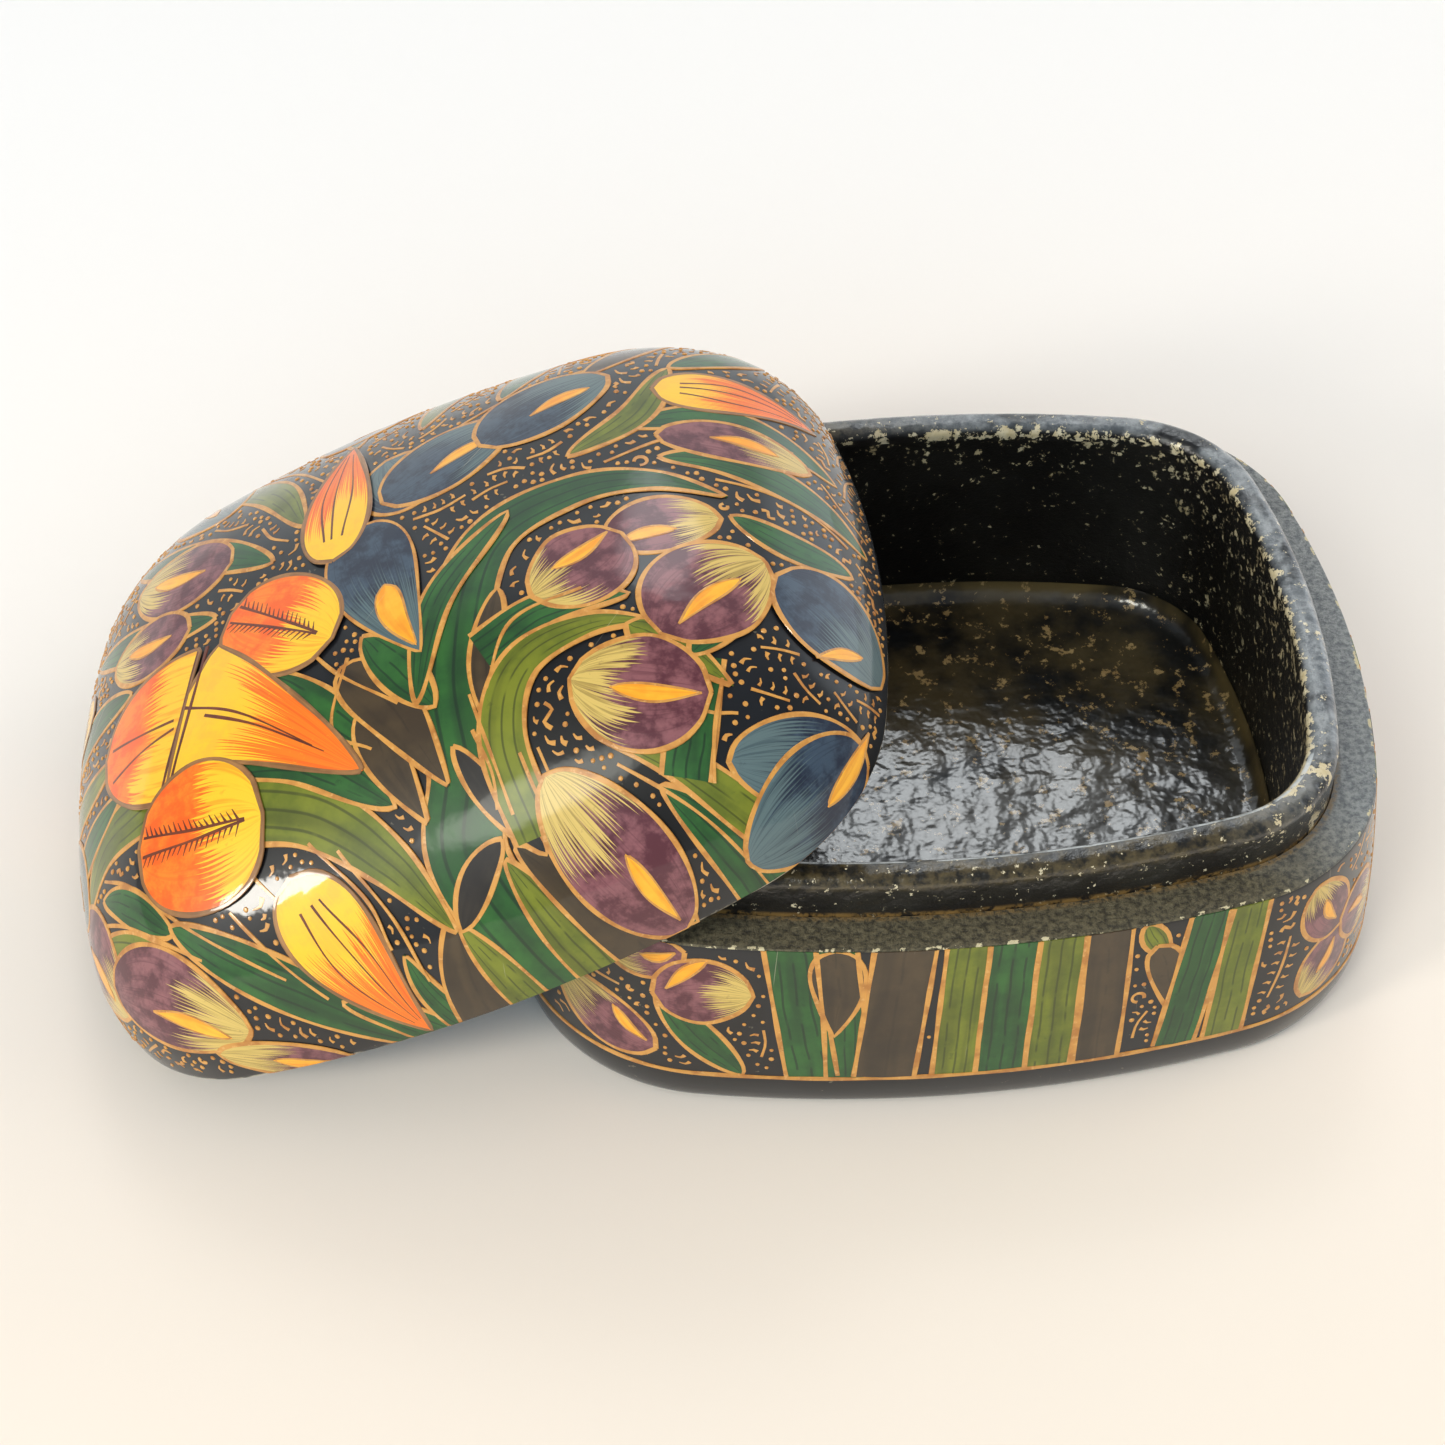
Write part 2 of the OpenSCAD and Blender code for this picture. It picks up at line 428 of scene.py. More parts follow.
    def dot(self, centre, radius):
        """A small gold dome on the ground."""
        a = np.linspace(0, 2 * math.pi, 8, endpoint=False)
        ring = np.asarray(centre) + radius * np.stack([np.cos(a), np.sin(a)], 1)
        low, _ = self.surface.at(ring, np.full(8, GROUND - 0.08))
        mid, _ = self.surface.at(np.asarray(centre) + (ring - centre) * 0.7, np.full(8, GROUND + 0.08))
        top, _ = self.surface.at(np.asarray([centre], float), np.array([GROUND + 0.11]))
        verts = np.vstack([low, mid, top])
        faces = [(i, (i + 1) % 8, 8 + (i + 1) % 8, 8 + i) for i in range(8)]
        faces += [(8 + i, 8 + (i + 1) % 8, 16) for i in range(8)] + [tuple(range(7, -1, -1))]
        self.pile("gold").add(verts, faces, np.zeros((17, 2)))


def resample(points, step):
    """The same broken line, with points about every step."""
    p = np.asarray(points, float)
    d = np.concatenate([[0], np.cumsum(np.linalg.norm(np.diff(p, axis=0), axis=1))])
    if d[-1] < 1e-6:
        return p[:1]
    n = max(3, int(d[-1] / step) + 1)
    s = np.linspace(0, d[-1], n)
    return np.stack([np.interp(s, d, p[:, 0]), np.interp(s, d, p[:, 1])], 1)


# ---------------------------------------------------------------- material helpers
PAINT_IOR = 1.5


class Nodes:
    """A short way to write a node material."""

    def __init__(self, name):
        self.material = bpy.data.materials.new(name)
        self.material.use_nodes = True
        self.tree = self.material.node_tree
        self.tree.nodes.clear()
        self.out = self.tree.nodes.new("ShaderNodeOutputMaterial")
        self.shader = self.tree.nodes.new("ShaderNodeBsdfPrincipled")
        self.tree.links.new(self.shader.outputs[0], self.out.inputs[0])

    def put(self, socket, value):
        if isinstance(value, bpy.types.NodeSocket):
            self.tree.links.new(value, socket)
        elif isinstance(value, (tuple, list)) and len(value) == 3 and socket.type == "RGBA":
            socket.default_value = (*value, 1.0)
        else:
            socket.default_value = value

    def node(self, kind, inputs=(), **settings):
        n = self.tree.nodes.new(kind)
        for key, value in settings.items():
            setattr(n, key, value)
        for key, value in dict(inputs).items():
            self.put(n.inputs[key], value)
        return n

    def uv(self):
        return self.node("ShaderNodeUVMap", uv_map="UVMap").outputs[0]

    def place(self):
        return self.node("ShaderNodeTexCoord").outputs["Object"]

    def scaled(self, vector, scale):
        return self.node("ShaderNodeMapping", {0: vector, "Scale": scale}).outputs[0]

    def noise(self, vector, scale, detail=3.0, rough=0.55):
        inputs = {"Vector": vector, "Scale": scale, "Detail": detail, "Roughness": rough}
        return self.node("ShaderNodeTexNoise", inputs).outputs["Fac"]

    def math(self, operation, a, b=0.0):
        return self.node("ShaderNodeMath", {0: a, 1: b}, operation=operation).outputs[0]

    def add(self, a, b):
        return self.math("ADD", a, b)

    def sub(self, a, b):
        return self.math("SUBTRACT", a, b)

    def mul(self, a, b):
        return self.math("MULTIPLY", a, b)

    def mag(self, a):
        return self.math("ABSOLUTE", a)

    def between(self, value, low, high, to_low=0.0, to_high=1.0):
        """value from low..high to to_low..to_high, smooth and held at the ends."""
        n = self.node("ShaderNodeMapRange", {0: value, 1: low, 2: high, 3: to_low, 4: to_high})
        n.interpolation_type = "SMOOTHSTEP"
        return n.outputs[0]

    def mix(self, factor, a, b):
        n = self.node("ShaderNodeMix", data_type="RGBA")
        self.put(n.inputs[0], factor)
        self.put(n.inputs[6], a)
        self.put(n.inputs[7], b)
        return n.outputs[2]

    def split(self, vector):
        return self.node("ShaderNodeSeparateXYZ", {0: vector}).outputs

    def bump(self, height, strength, distance):
        inputs = {"Height": height, "Strength": strength, "Distance": distance}
        return self.node("ShaderNodeBump", inputs).outputs[0]

    def chipped(self, colour, grain, limit, under, soft=0.02, share=None):
        """The colour with what lies under it showing where the grain passes a limit."""
        chips = self.between(self.sub(grain, limit), 0.0, soft)
        return self.mix(chips if share is None else self.mul(chips, share), colour, under)

    def finish(self, colour, rough, bump=None, coat=0.0, coat_rough=0.1, coat_bump=None, coat_ior=1.4):
        """Wires the shader up; numbers that are the same all over go straight on its sockets."""
        s = self.shader.inputs
        self.put(s["Base Color"], colour)
        self.put(s["Roughness"], rough)
        s["Coat Weight"].default_value = coat
        s["Coat Roughness"].default_value = coat_rough
        s["Coat IOR"].default_value = coat_ior
        s["IOR"].default_value = PAINT_IOR
        if bump is not None:
            self.put(s["Normal"], bump)
        if coat_bump is not None:
            self.put(s["Coat Normal"], coat_bump)
        return self.material


def rgb(r, g, b):
    """A colour written as 0 to 255 screen values, as linear light."""
    def one(v):
        v /= 255.0
        return v / 12.92 if v <= 0.04045 else ((v + 0.055) / 1.055) ** 2.4
    return one(r), one(g), one(b)


LACQUER = dict(coat=1.0, coat_rough=0.06, coat_ior=1.32)
SCRATCH = rgb(200, 190, 164)


def hair(m, p):
    """Fine straight scratches in the varnish, a few of them, in two directions."""
    total = None
    for turn, share in ((0.7, 0.775), (-0.4, 0.785)):
        turned = m.node("ShaderNodeMapping", {0: p, "Rotation": (0.0, 0.0, turn)}).outputs[0]
        line = m.between(m.noise(m.scaled(turned, (2600.0, 34.0, 60.0)), 1.0, 1.0), share, share + 0.03)
        total = line if total is None else m.math("MAXIMUM", total, line)
    return total


def lacquer_bump(m):
    """The slight unevenness of varnish over hand-made paper board."""
    p = m.place()
    wide = m.noise(p, 60.0, 2.0)
    fine = m.noise(p, 420.0, 2.0)
    height = m.add(wide, m.mul(fine, 0.10))
    return m.bump(height, 0.35, 0.0007)


def stroke_space(m):
    """Where a point lies on its brush shape: (which shape, along 0 to 1, across 0 to 1)."""
    x, y, _ = m.split(m.uv())
    return m.math("FLOOR", x), m.math("FRACT", x), y


def pair(m, a, b, c=0.0):
    return m.node("ShaderNodeCombineXYZ", {0: a, 1: b, 2: c}).outputs[0]


def leaf_paint(name, dark, mid, light, veins=(0.24, 0.5, 0.77), strength=0.75):
    """Flat leaf colour with a few thin, broken, darker veins drawn along it."""
    m = Nodes(name)
    which, t, v = stroke_space(m)
    seed = m.mul(which, 3.71)
    wobble = m.mul(m.sub(m.noise(pair(m, m.mul(t, 3.0), seed), 1.0, 1.0), 0.5), 0.16)
    blot = m.noise(m.place(), 160.0, 4.0, 0.65)
    colour = m.mix(m.between(blot, 0.35, 0.65), mid, light)
    wash = m.noise(pair(m, m.mul(t, 1.3), m.mul(v, 2.6), seed), 1.0, 2.0)
    colour = m.mix(m.mul(m.between(wash, 0.42, 0.66), 0.45), colour, dark)
    for k, place in enumerate(veins):
        off = m.mag(m.sub(m.add(v, wobble), place))
        line = m.between(off, 0.012, 0.034, 1.0, 0.0)
        broken = m.between(m.noise(pair(m, m.mul(t, 6.0), seed, 5.0 * k), 1.0, 1.0), 0.36, 0.46)
        colour = m.mix(m.mul(m.mul(line, broken), strength), colour, dark)
    scuff = m.noise(m.place(), 900.0, 3.0, 0.7)
    colour = m.mix(m.mul(m.between(scuff, 0.64, 0.74), 0.30), colour, dark)
    colour = m.mix(m.mul(hair(m, m.place()), 0.3), colour, SCRATCH)
    return m.finish(colour, 0.5, m.bump(blot, 0.15, 0.0002), coat_bump=lacquer_bump(m), **LACQUER)


def petal_paint(name, inner, inner_light, outer, outer_dark, start=0.42, needles=26.0, reach=0.34,
                soft=0.012):
    """Petal colour laid from its throat in fine needle strokes over the paler colour of its tip."""
    m = Nodes(name)
    which, t, v = stroke_space(m)
    seed = m.mul(which, 3.71)
    fanned = m.add(v, m.mul(m.sub(m.noise(pair(m, t, seed), 2.0, 1.0), 0.5), 0.05))
    low = m.noise(pair(m, m.mul(fanned, 2.6), seed), 1.0, 1.0)
    base = m.add(start, m.mul(m.sub(low, 0.5), 0.7))
    blot = m.noise(m.place(), 300.0, 4.0, 0.65)
    streak = m.noise(pair(m, m.mul(t, 2.0), m.mul(fanned, 34.0), seed), 1.0, 2.0)
    over = m.mix(m.between(blot, 0.40, 0.62), inner, inner_light)
    over = m.mix(m.mul(m.between(streak, 0.50, 0.66), 0.5), over, inner)
    under = m.mix(m.mul(m.between(streak, 0.46, 0.64), 0.75), outer, outer_dark)
    colour = under
    for k, (count, length, thin) in enumerate(((needles, reach, 0.0), (needles * 1.45, reach * 1.5, 0.45))):
        row = m.mul(fanned, count)
        luck = m.node("ShaderNodeTexWhiteNoise", {"Vector": pair(m, m.math("FLOOR", row), which, 9.0 * k)},
                      noise_dimensions="3D").outputs["Value"]
        point = m.sub(1.0, m.mul(m.mag(m.sub(m.math("FRACT", row), 0.5)), 2.0))
        point = m.sub(point, thin)
        tip = m.add(base, m.mul(m.mul(m.add(luck, 0.25), point), length))
        colour = m.mix(m.between(m.sub(tip, t), -soft, soft), colour, over)
    scuff = m.noise(m.place(), 900.0, 3.0, 0.7)
    colour = m.mix(m.mul(m.between(scuff, 0.62, 0.74), 0.25), colour, inner)
    colour = m.mix(m.mul(hair(m, m.place()), 0.3), colour, SCRATCH)
    return m.finish(colour, 0.5, m.bump(streak, 0.15, 0.0002), coat_bump=lacquer_bump(m), **LACQUER)


def flat_ground():
    """Near-black ground with a blue cast, small scuffs and fine hair scratches in the varnish."""
    m = Nodes("black_ground")
    p = m.place()
    cloud = m.noise(p, 55.0, 4.0)
    colour = m.mix(m.between(cloud, 0.35, 0.7), rgb(7, 8, 11), rgb(18, 21, 27))
    specks = m.noise(p, 900.0, 2.0, 0.6)
    colour = m.mix(m.mul(m.between(specks, 0.71, 0.76), 0.5), colour, rgb(120, 112, 92))
    colour = m.mix(m.mul(hair(m, p), 0.3), colour, rgb(120, 116, 104))
    return m.finish(colour, 0.5, None, coat_bump=lacquer_bump(m), **LACQUER)


def gold_paint():
    """Copper-gold paint, a little patchy where the brush ran dry."""
    m = Nodes("gold_paint")
    p = m.place()
    patch = m.noise(p, 420.0, 3.0)
    colour = m.mix(m.between(patch, 0.30, 0.60), rgb(176, 112, 46), rgb(210, 148, 68))
    bright = m.noise(p, 1500.0, 2.0)
    colour = m.mix(m.mul(m.between(bright, 0.58, 0.70), 0.4), colour, rgb(228, 180, 112))
    return m.finish(colour, 0.45, m.bump(patch, 0.2, 0.0002), coat=0.6, coat_rough=0.12)


def paint_materials():
    """Every paint by its short name."""
    khaki, khaki_dark = rgb(212, 180, 96), rgb(150, 122, 56)
    yellow, amber = rgb(250, 195, 36), rgb(242, 154, 18)
    return {
        "ground": flat_ground(),
        "gold": gold_paint(),
        "green": leaf_paint("leaf_green", rgb(12, 38, 20), rgb(28, 76, 30), rgb(42, 96, 36)),
        "olive": leaf_paint("leaf_olive", rgb(52, 58, 8), rgb(92, 102, 14), rgb(118, 124, 24)),
        "brown": leaf_paint("leaf_brown", rgb(30, 22, 12), rgb(58, 44, 27), rgb(72, 56, 34), veins=(0.5,),
                            strength=0.3),
        "dark": leaf_paint("leaf_dark", rgb(16, 16, 18), rgb(34, 30, 28), rgb(48, 42, 36), veins=(),
                           strength=0.3),
        "plum": petal_paint("iris_plum", rgb(84, 36, 46), rgb(136, 82, 86), khaki, khaki_dark, start=0.52,
                            reach=0.30),
        "blue": petal_paint("iris_blue", rgb(24, 35, 54), rgb(54, 71, 88), rgb(88, 107, 108),
                            rgb(60, 78, 84), soft=0.14),
        "tongue": leaf_paint("iris_tongue", rgb(222, 120, 12), rgb(250, 162, 24), rgb(255, 186, 44),
                             veins=(), strength=0.3),
        "orange": petal_paint("lily_orange", rgb(240, 94, 8), rgb(248, 128, 22), yellow, amber, start=0.48,
                              needles=30.0, reach=0.26),
        "amber": petal_paint("lily_amber", yellow, rgb(250, 184, 46), rgb(246, 120, 16), rgb(234, 88, 8),
                             start=0.30, needles=30.0, reach=0.30),
        "dull": leaf_paint("dull_line", rgb(96, 62, 34), rgb(138, 94, 52), rgb(168, 118, 68), veins=()),
        "vein": leaf_paint("dark_vein", rgb(56, 22, 12), rgb(96, 38, 18), rgb(124, 58, 28), veins=()),
    }


# ---------------------------------------------------------------- the picture on the lid
def lid_picture(art):
    """Leaves, loose lines, then flowers, placed on the lid's chart."""
    near_leaves(art)
    far_leaves(art)
    flourishes(art)
    irises(art)
    lilies(art)


def near_leaves(art):
    """The leaves of the near side, fanning up from the front edge."""
    leaf = art.shape
    leaf("olive", 6.5, "spear", [(-31, -17), (-40, -17), (-48, -22)])
    leaf("green", 4.2, "blade", [(-42, -23), (-38, -26), (-32, -33)])
    leaf("olive", 5.2, "blade", [(-47, -27), (-39, -32), (-31, -40)])
    leaf("green", 7.0, "blade", [(-32, -32), (-24, -42), (-18, -50), (-11, -60)])
    leaf("green", 6.0, "spear", [(-9, -60), (-13, -53), (-18, -48)])
    leaf("green", 4.4, "spear", [(-5.5, -61), (-7, -52), (-7, -46)])
    leaf("brown", 9.0, "spear", [(-3, -62), (-1, -52), (1.5, -43)])
    leaf("green", 9.6, "spear", [(11.5, -61), (8, -51), (5, -39), (8, -30), (9, -18), (14, -3), (24, 2),
                                 (33, 2), (41, -1)])
    leaf("olive", 5.6, "spear", [(5.5, -62), (3, -52), (1, -45)])
    leaf("olive", 6.8, "spear", [(17.5, -61), (12.5, -49), (9, -40)])
    leaf("brown", 8.4, "spear", [(26, -60), (17, -47), (10.5, -39)])
    leaf("dark", 3.4, "blade", [(7, -27), (9.5, -33), (14, -41)])
    leaf("dark", 3.8, "blade", [(9.5, -38), (5.5, -41), (1, -46)])
    leaf("olive", 7.4, "spear", [(-20, -24), (-11, -28), (-4, -36), (0.5, -46)])
    leaf("green", 5.4, "blade", [(-20, -19), (-10, -22), (-1, -31)])
    leaf("green", 6.8, "blade", [(-14, -9), (-9, -16), (-1, -26)])
    leaf("brown", 5.2, "drop", [(-2, -19), (-0.5, -26), (2, -34)])
    leaf("brown", 6.6, "drop", [(-4, -13), (1, -20), (5.5, -31)])
    leaf("green", 5.0, "blade", [(-1, -10), (2, -15), (6, -22)])
    leaf("green", 3.8, "blade", [(4, -21), (8, -9), (17, 1)])
    leaf("brown", 4.0, "blade", [(12, -27), (12.5, -19), (15, -10)])
    leaf("green", 5.0, "spear", [(12, -17.5), (20, -14.5), (29, -15)])
    leaf("olive", 5.4, "spear", [(13.5, -39), (12.5, -28), (16, -20.5), (24, -18), (31, -19)])
    leaf("green", 7.0, "spear", [(43, -55), (36, -46), (28, -37)])
    leaf("olive", 5.2, "spear", [(49, -50), (38, -42), (30, -35), (22, -30)])
    leaf("green", 3.4, "blade", [(20, -44), (25, -49), (30, -53)])
    leaf("green", 5.4, "band", [(35, -24), (33, -31), (31, -37)])
    leaf("olive", 4.0, "drop", [(28, -19), (32, -22), (38, -28)])
    leaf("green", 4.4, "blade", [(34, -24), (38, -20), (42, -13)])
    leaf("green", 4.4, "blade", [(41, -4), (48, -8), (56, -9)])


def flourishes(art):
    """Loose gold lines drawn over the leaves' edges, as a quick brush leaves them."""
    for path in (
            [(-41, -21), (-36, -25), (-30, -33), (-22, -43)],
            [(-46, -24), (-38, -29), (-30, -37)],
            [(-20, -31), (-16, -40), (-15, -49)],
            [(-24, -34), (-21, -42), (-19, -47)],
            [(-9, -33), (-6, -42), (-6, -50)],
            [(-12, -31), (-8, -39), (-8, -45)],
            [(10, -22), (11, -30), (11.5, -36)],
            [(9.5, -26), (10.5, -31), (10, -35)],
            [(12, -22), (16, -15), (24, -13)],
            [(14, -30), (15, -36), (17, -40)],
            [(16, -30), (17, -35), (19, -39)],
            [(24, -34), (32, -41), (40, -50)],
            [(30, -24), (34, -30), (38, -31)],
            [(37, -27), (35, -33), (34, -38)],
            [(-3, -12), (-6, -20), (-2, -24)],
            [(-8, -8), (-4, -14), (2, -20)],
            [(40, 2), (48, 0), (56, -4)],
            [(28, 6), (38, 10), (50, 10)],
            [(-6, 20), (-12, 28), (-20, 34)],
            [(10, 20), (18, 24), (26, 26)]):
        art.stroke(path, 0.46, smooth=True)


def far_leaves(art):
    """The leaves of the far side and the low end."""
    leaf = art.shape
    leaf("green", 5.0, "blade", [(34, 6), (42, 5), (52, 1), (60, -3)])
    leaf("green", 5.0, "blade", [(30, 12), (42, 13), (56, 8)])
    leaf("olive", 4.0, "blade", [(24, 8), (32, 14), (36, 24)])
    leaf("green", 5.6, "blade", [(-12, 8), (-22, 16), (-36, 26)])
    leaf("green", 5.0, "blade", [(-20, 4), (-30, 8), (-44, 16)])
    leaf("olive", 4.8, "blade", [(-8, 12), (-14, 24), (-26, 36)])
    leaf("green", 5.0, "blade", [(-3, 27), (-6, 38), (-14, 50)])
    leaf("olive", 5.0, "blade", [(6, 24), (8, 38), (4, 54)])
    leaf("green", 6.0, "blade", [(16, 24), (20, 38), (18, 54)])
    leaf("brown", 5.0, "blade", [(26, 24), (33, 34), (36, 46)])
    leaf("green", 5.0, "blade", [(36, 24), (44, 30), (48, 36)])
    leaf("green", 5.5, "blade", [(-34, 2), (-44, 4), (-58, 4)])
    leaf("olive", 4.5, "blade", [(-37, -6), (-46, -6), (-58, -4)])
    leaf("green", 5.0, "blade", [(-36, -12), (-46, -14), (-56, -16)])
    leaf("brown", 5.0, "blade", [(-16, 46), (-24, 48), (-36, 42)])
    leaf("green", 5.0, "blade", [(-44, 20), (-50, 26), (-52, 34)])


def irises(art):
    """Purple and blue irises; each falls from its throat to a paler tip."""
    fall(art, "plum", (27, -6.5), (40, -4.5), 8.5, (28, -7.5), (35, -6))
    fall(art, "plum", (29, -6), (18.5, -12.5), 11.5, (27.5, -5.5), (21, -9.5))
    fall(art, "plum", (31.5, -21), (44, -11), 13.5, (33.5, -20), (41, -14))
    fall(art, "plum", (35.5, -28.5), (21, -24), 13.0, (34.5, -28.5), (25, -26))
    fall(art, "plum", (28.5, -53.5), (16, -33), 12.5, (27.6, -52), (22.5, -43))
    fall(art, "plum", (34, 10), (52, 7), 7.0, (40, 9.5), (48, 8))
    fall(art, "plum", (-18, 12), (-34, 20), 11.0, (-22, 13.5), (-31, 18))
    fall(art, "plum", (-24, 5), (-38, 10), 9.0, (-27, 6), (-35, 9))
    fall(art, "plum", (-50, -20), (-47, -36), 11.0, (-50, -24), (-48, -33))
    fall(art, "plum", (-46, -32), (-31, -46), 12.5, (-41, -38), (-34, -45.5))
    fall(art, "plum", (-24, -56), (-38, -46), 6.0, (-27, -54), (-33, -50))
    fall(art, "plum", (-52, 12), (-58, 0), 10.0, (-53, 10), (-56, 3))
    fall(art, "blue", (8, 8), (2, 19), 11.0, (7, 10), (4, 16))
    fall(art, "blue", (2, 10), (18, 17), 12.0, (8, 12), (15, 15))
    fall(art, "blue", (14, 14), (29, 23), 12.0, (20, 17), (27, 20.5))
    fall(art, "blue", (45, -13), (58, -25), 13.0, (48, -24), (55, -22))
    fall(art, "blue", (55, -36), (36, -36), 11.0, (50, -36.5), (46, -36))
    fall(art, "blue", (54, -34), (37, -47), 12.0, (55, -32), (48, -41.5))
    fall(art, "blue", (-8, 30), (4, 44), 12.0, (-5, 33), (1, 41))
    fall(art, "blue", (-30, 36), (-20, 24), 11.0, (-28, 34), (-23, 27))
    fall(art, "blue", (-56, -6), (-48, -22), 9.0, (-55, -9), (-51, -18))
    fall(art, "blue", (30, 34), (24, 48), 11.0, (29, 36), (26, 44))
    art.shape("blue", 10.5, "drop", [(-1, 7), (1.5, -4), (5.5, -15)], line=0.4)
    art.shape("tongue", 3.2, "drop", [(2.2, -4), (3.0, -9), (5.2, -14)], line=0.3)


def lilies(art):
    """The orange lily: two round petals, the split trumpet, and its buds."""
    ticked(art, "orange", 13.5, [(-17.5, 2.5), (-11, -3), (-4.5, -8.5)])
    art.shape("amber", 19.0, "trumpet", [(-25.5, -7.5), (-19, -11.5), (-11, -18.5), (-3.5, -26)],
              line_kind="dull")
    for k in (-1.4, 1.6):
        vein = [(-23 + k, -9 - k), (-16 + 0.8 * k, -14 - k), (-8 + 0.4 * k, -21.5 - 0.4 * k)]
        art.stroke(vein, 0.42, "vein", taper=True, smooth=True)
    art.shape("orange", 19.5, "dee", [(-38.5, -5.5), (-32, -7), (-25, -9.3)], line_kind="dull")
    for k in (0.0, 1.3):
        vein = [(-22.2 + k, -0.4), (-24 + k, -6), (-26.2 + k, -12), (-28.6 + k, -17.6)]
        art.stroke(vein, 0.5, "vein", smooth=True)
    for k in (-1.2, 1.2):
        vein = [(-37, -7.5 + 2.0 * k), (-31, -8.2 + k), (-26, -9.0 + 0.5 * k)]
        art.stroke(vein, 0.4, "vein", smooth=True)
    ticked(art, "orange", 17.0, [(-33, -22), (-25, -24.5), (-16, -26)])
    bud(art, (-15.5, -33.5), (-11, -56.5), 11.0)
    bud(art, (-4, 3), (-3, 26), 8.5)
    bud(art, (34, 19), (54, 18), 8.0)
    bud(art, (12, 38), (14, 54), 9.0)
    bud(art, (-44, 8), (-58, 12), 8.0)


def left_of(a, b):
    """The unit vector to the left of the way from a to b."""
    return np.array([-(b - a)[1], (b - a)[0]]) / np.linalg.norm(b - a)


def fall(art, kind, throat, tip, width, tongue_from, tongue_to):
    """One falling iris petal with its slim yellow tongue."""
    a, b = np.array(throat, float), np.array(tip, float)
    side = left_of(a, b)
    art.shape(kind, width, "petal", [a, (a + b) / 2 + side * width * 0.06, b])
    p, q = np.array(tongue_from, float), np.array(tongue_to, float)
    slim = np.linalg.norm(q - p) * 0.13 + 0.7
    art.shape("tongue", slim, "flame", [p, (p + q) / 2 + side * 0.5, q], line=0.3)


def ticked(art, kind, width, spine):
    """A round petal with a dark middle vein and short ticks off it."""
    art.shape(kind, width, "round", spine, line_kind="dull")
    path = smooth_path(spine, LINE_STEP)
    path = path[int(len(path) * 0.06):int(len(path) * 0.90)]
    across = sides(path)
    for way in (-1, 1):
        art.stroke(path + across * way * np.linspace(1.1, 0.1, len(path))[:, None], 0.4, "vein")
        for i in range(1, len(path) - 1):
            ahead = path[min(i + 1, len(path) - 1)] - path[i]
            root = path[i] + across[i] * way * (1.1 - i / len(path))
            art.stroke([root, root + across[i] * way * (0.9 + 0.5 * art.random.random()) - ahead * 0.8],
                       0.3, "vein", taper=True)


def bud(art, root, tip, width):
    """A pointed orange bud with fine dark veins."""
    a, b = np.array(root, float), np.array(tip, float)
    side = left_of(a, b)
    art.shape("amber", width, "drop", [a, (a + b) / 2, b], line_kind="dull")
    for k in (-0.20, 0.06, 0.24):
        off = side * width * k
        vein = [a + (b - a) * 0.16 + off * 0.6, (a + b) / 2 + off, a + (b - a) * 0.9 + off * 0.25]
        art.stroke(vein, 0.3, "vein", taper=True, smooth=True)


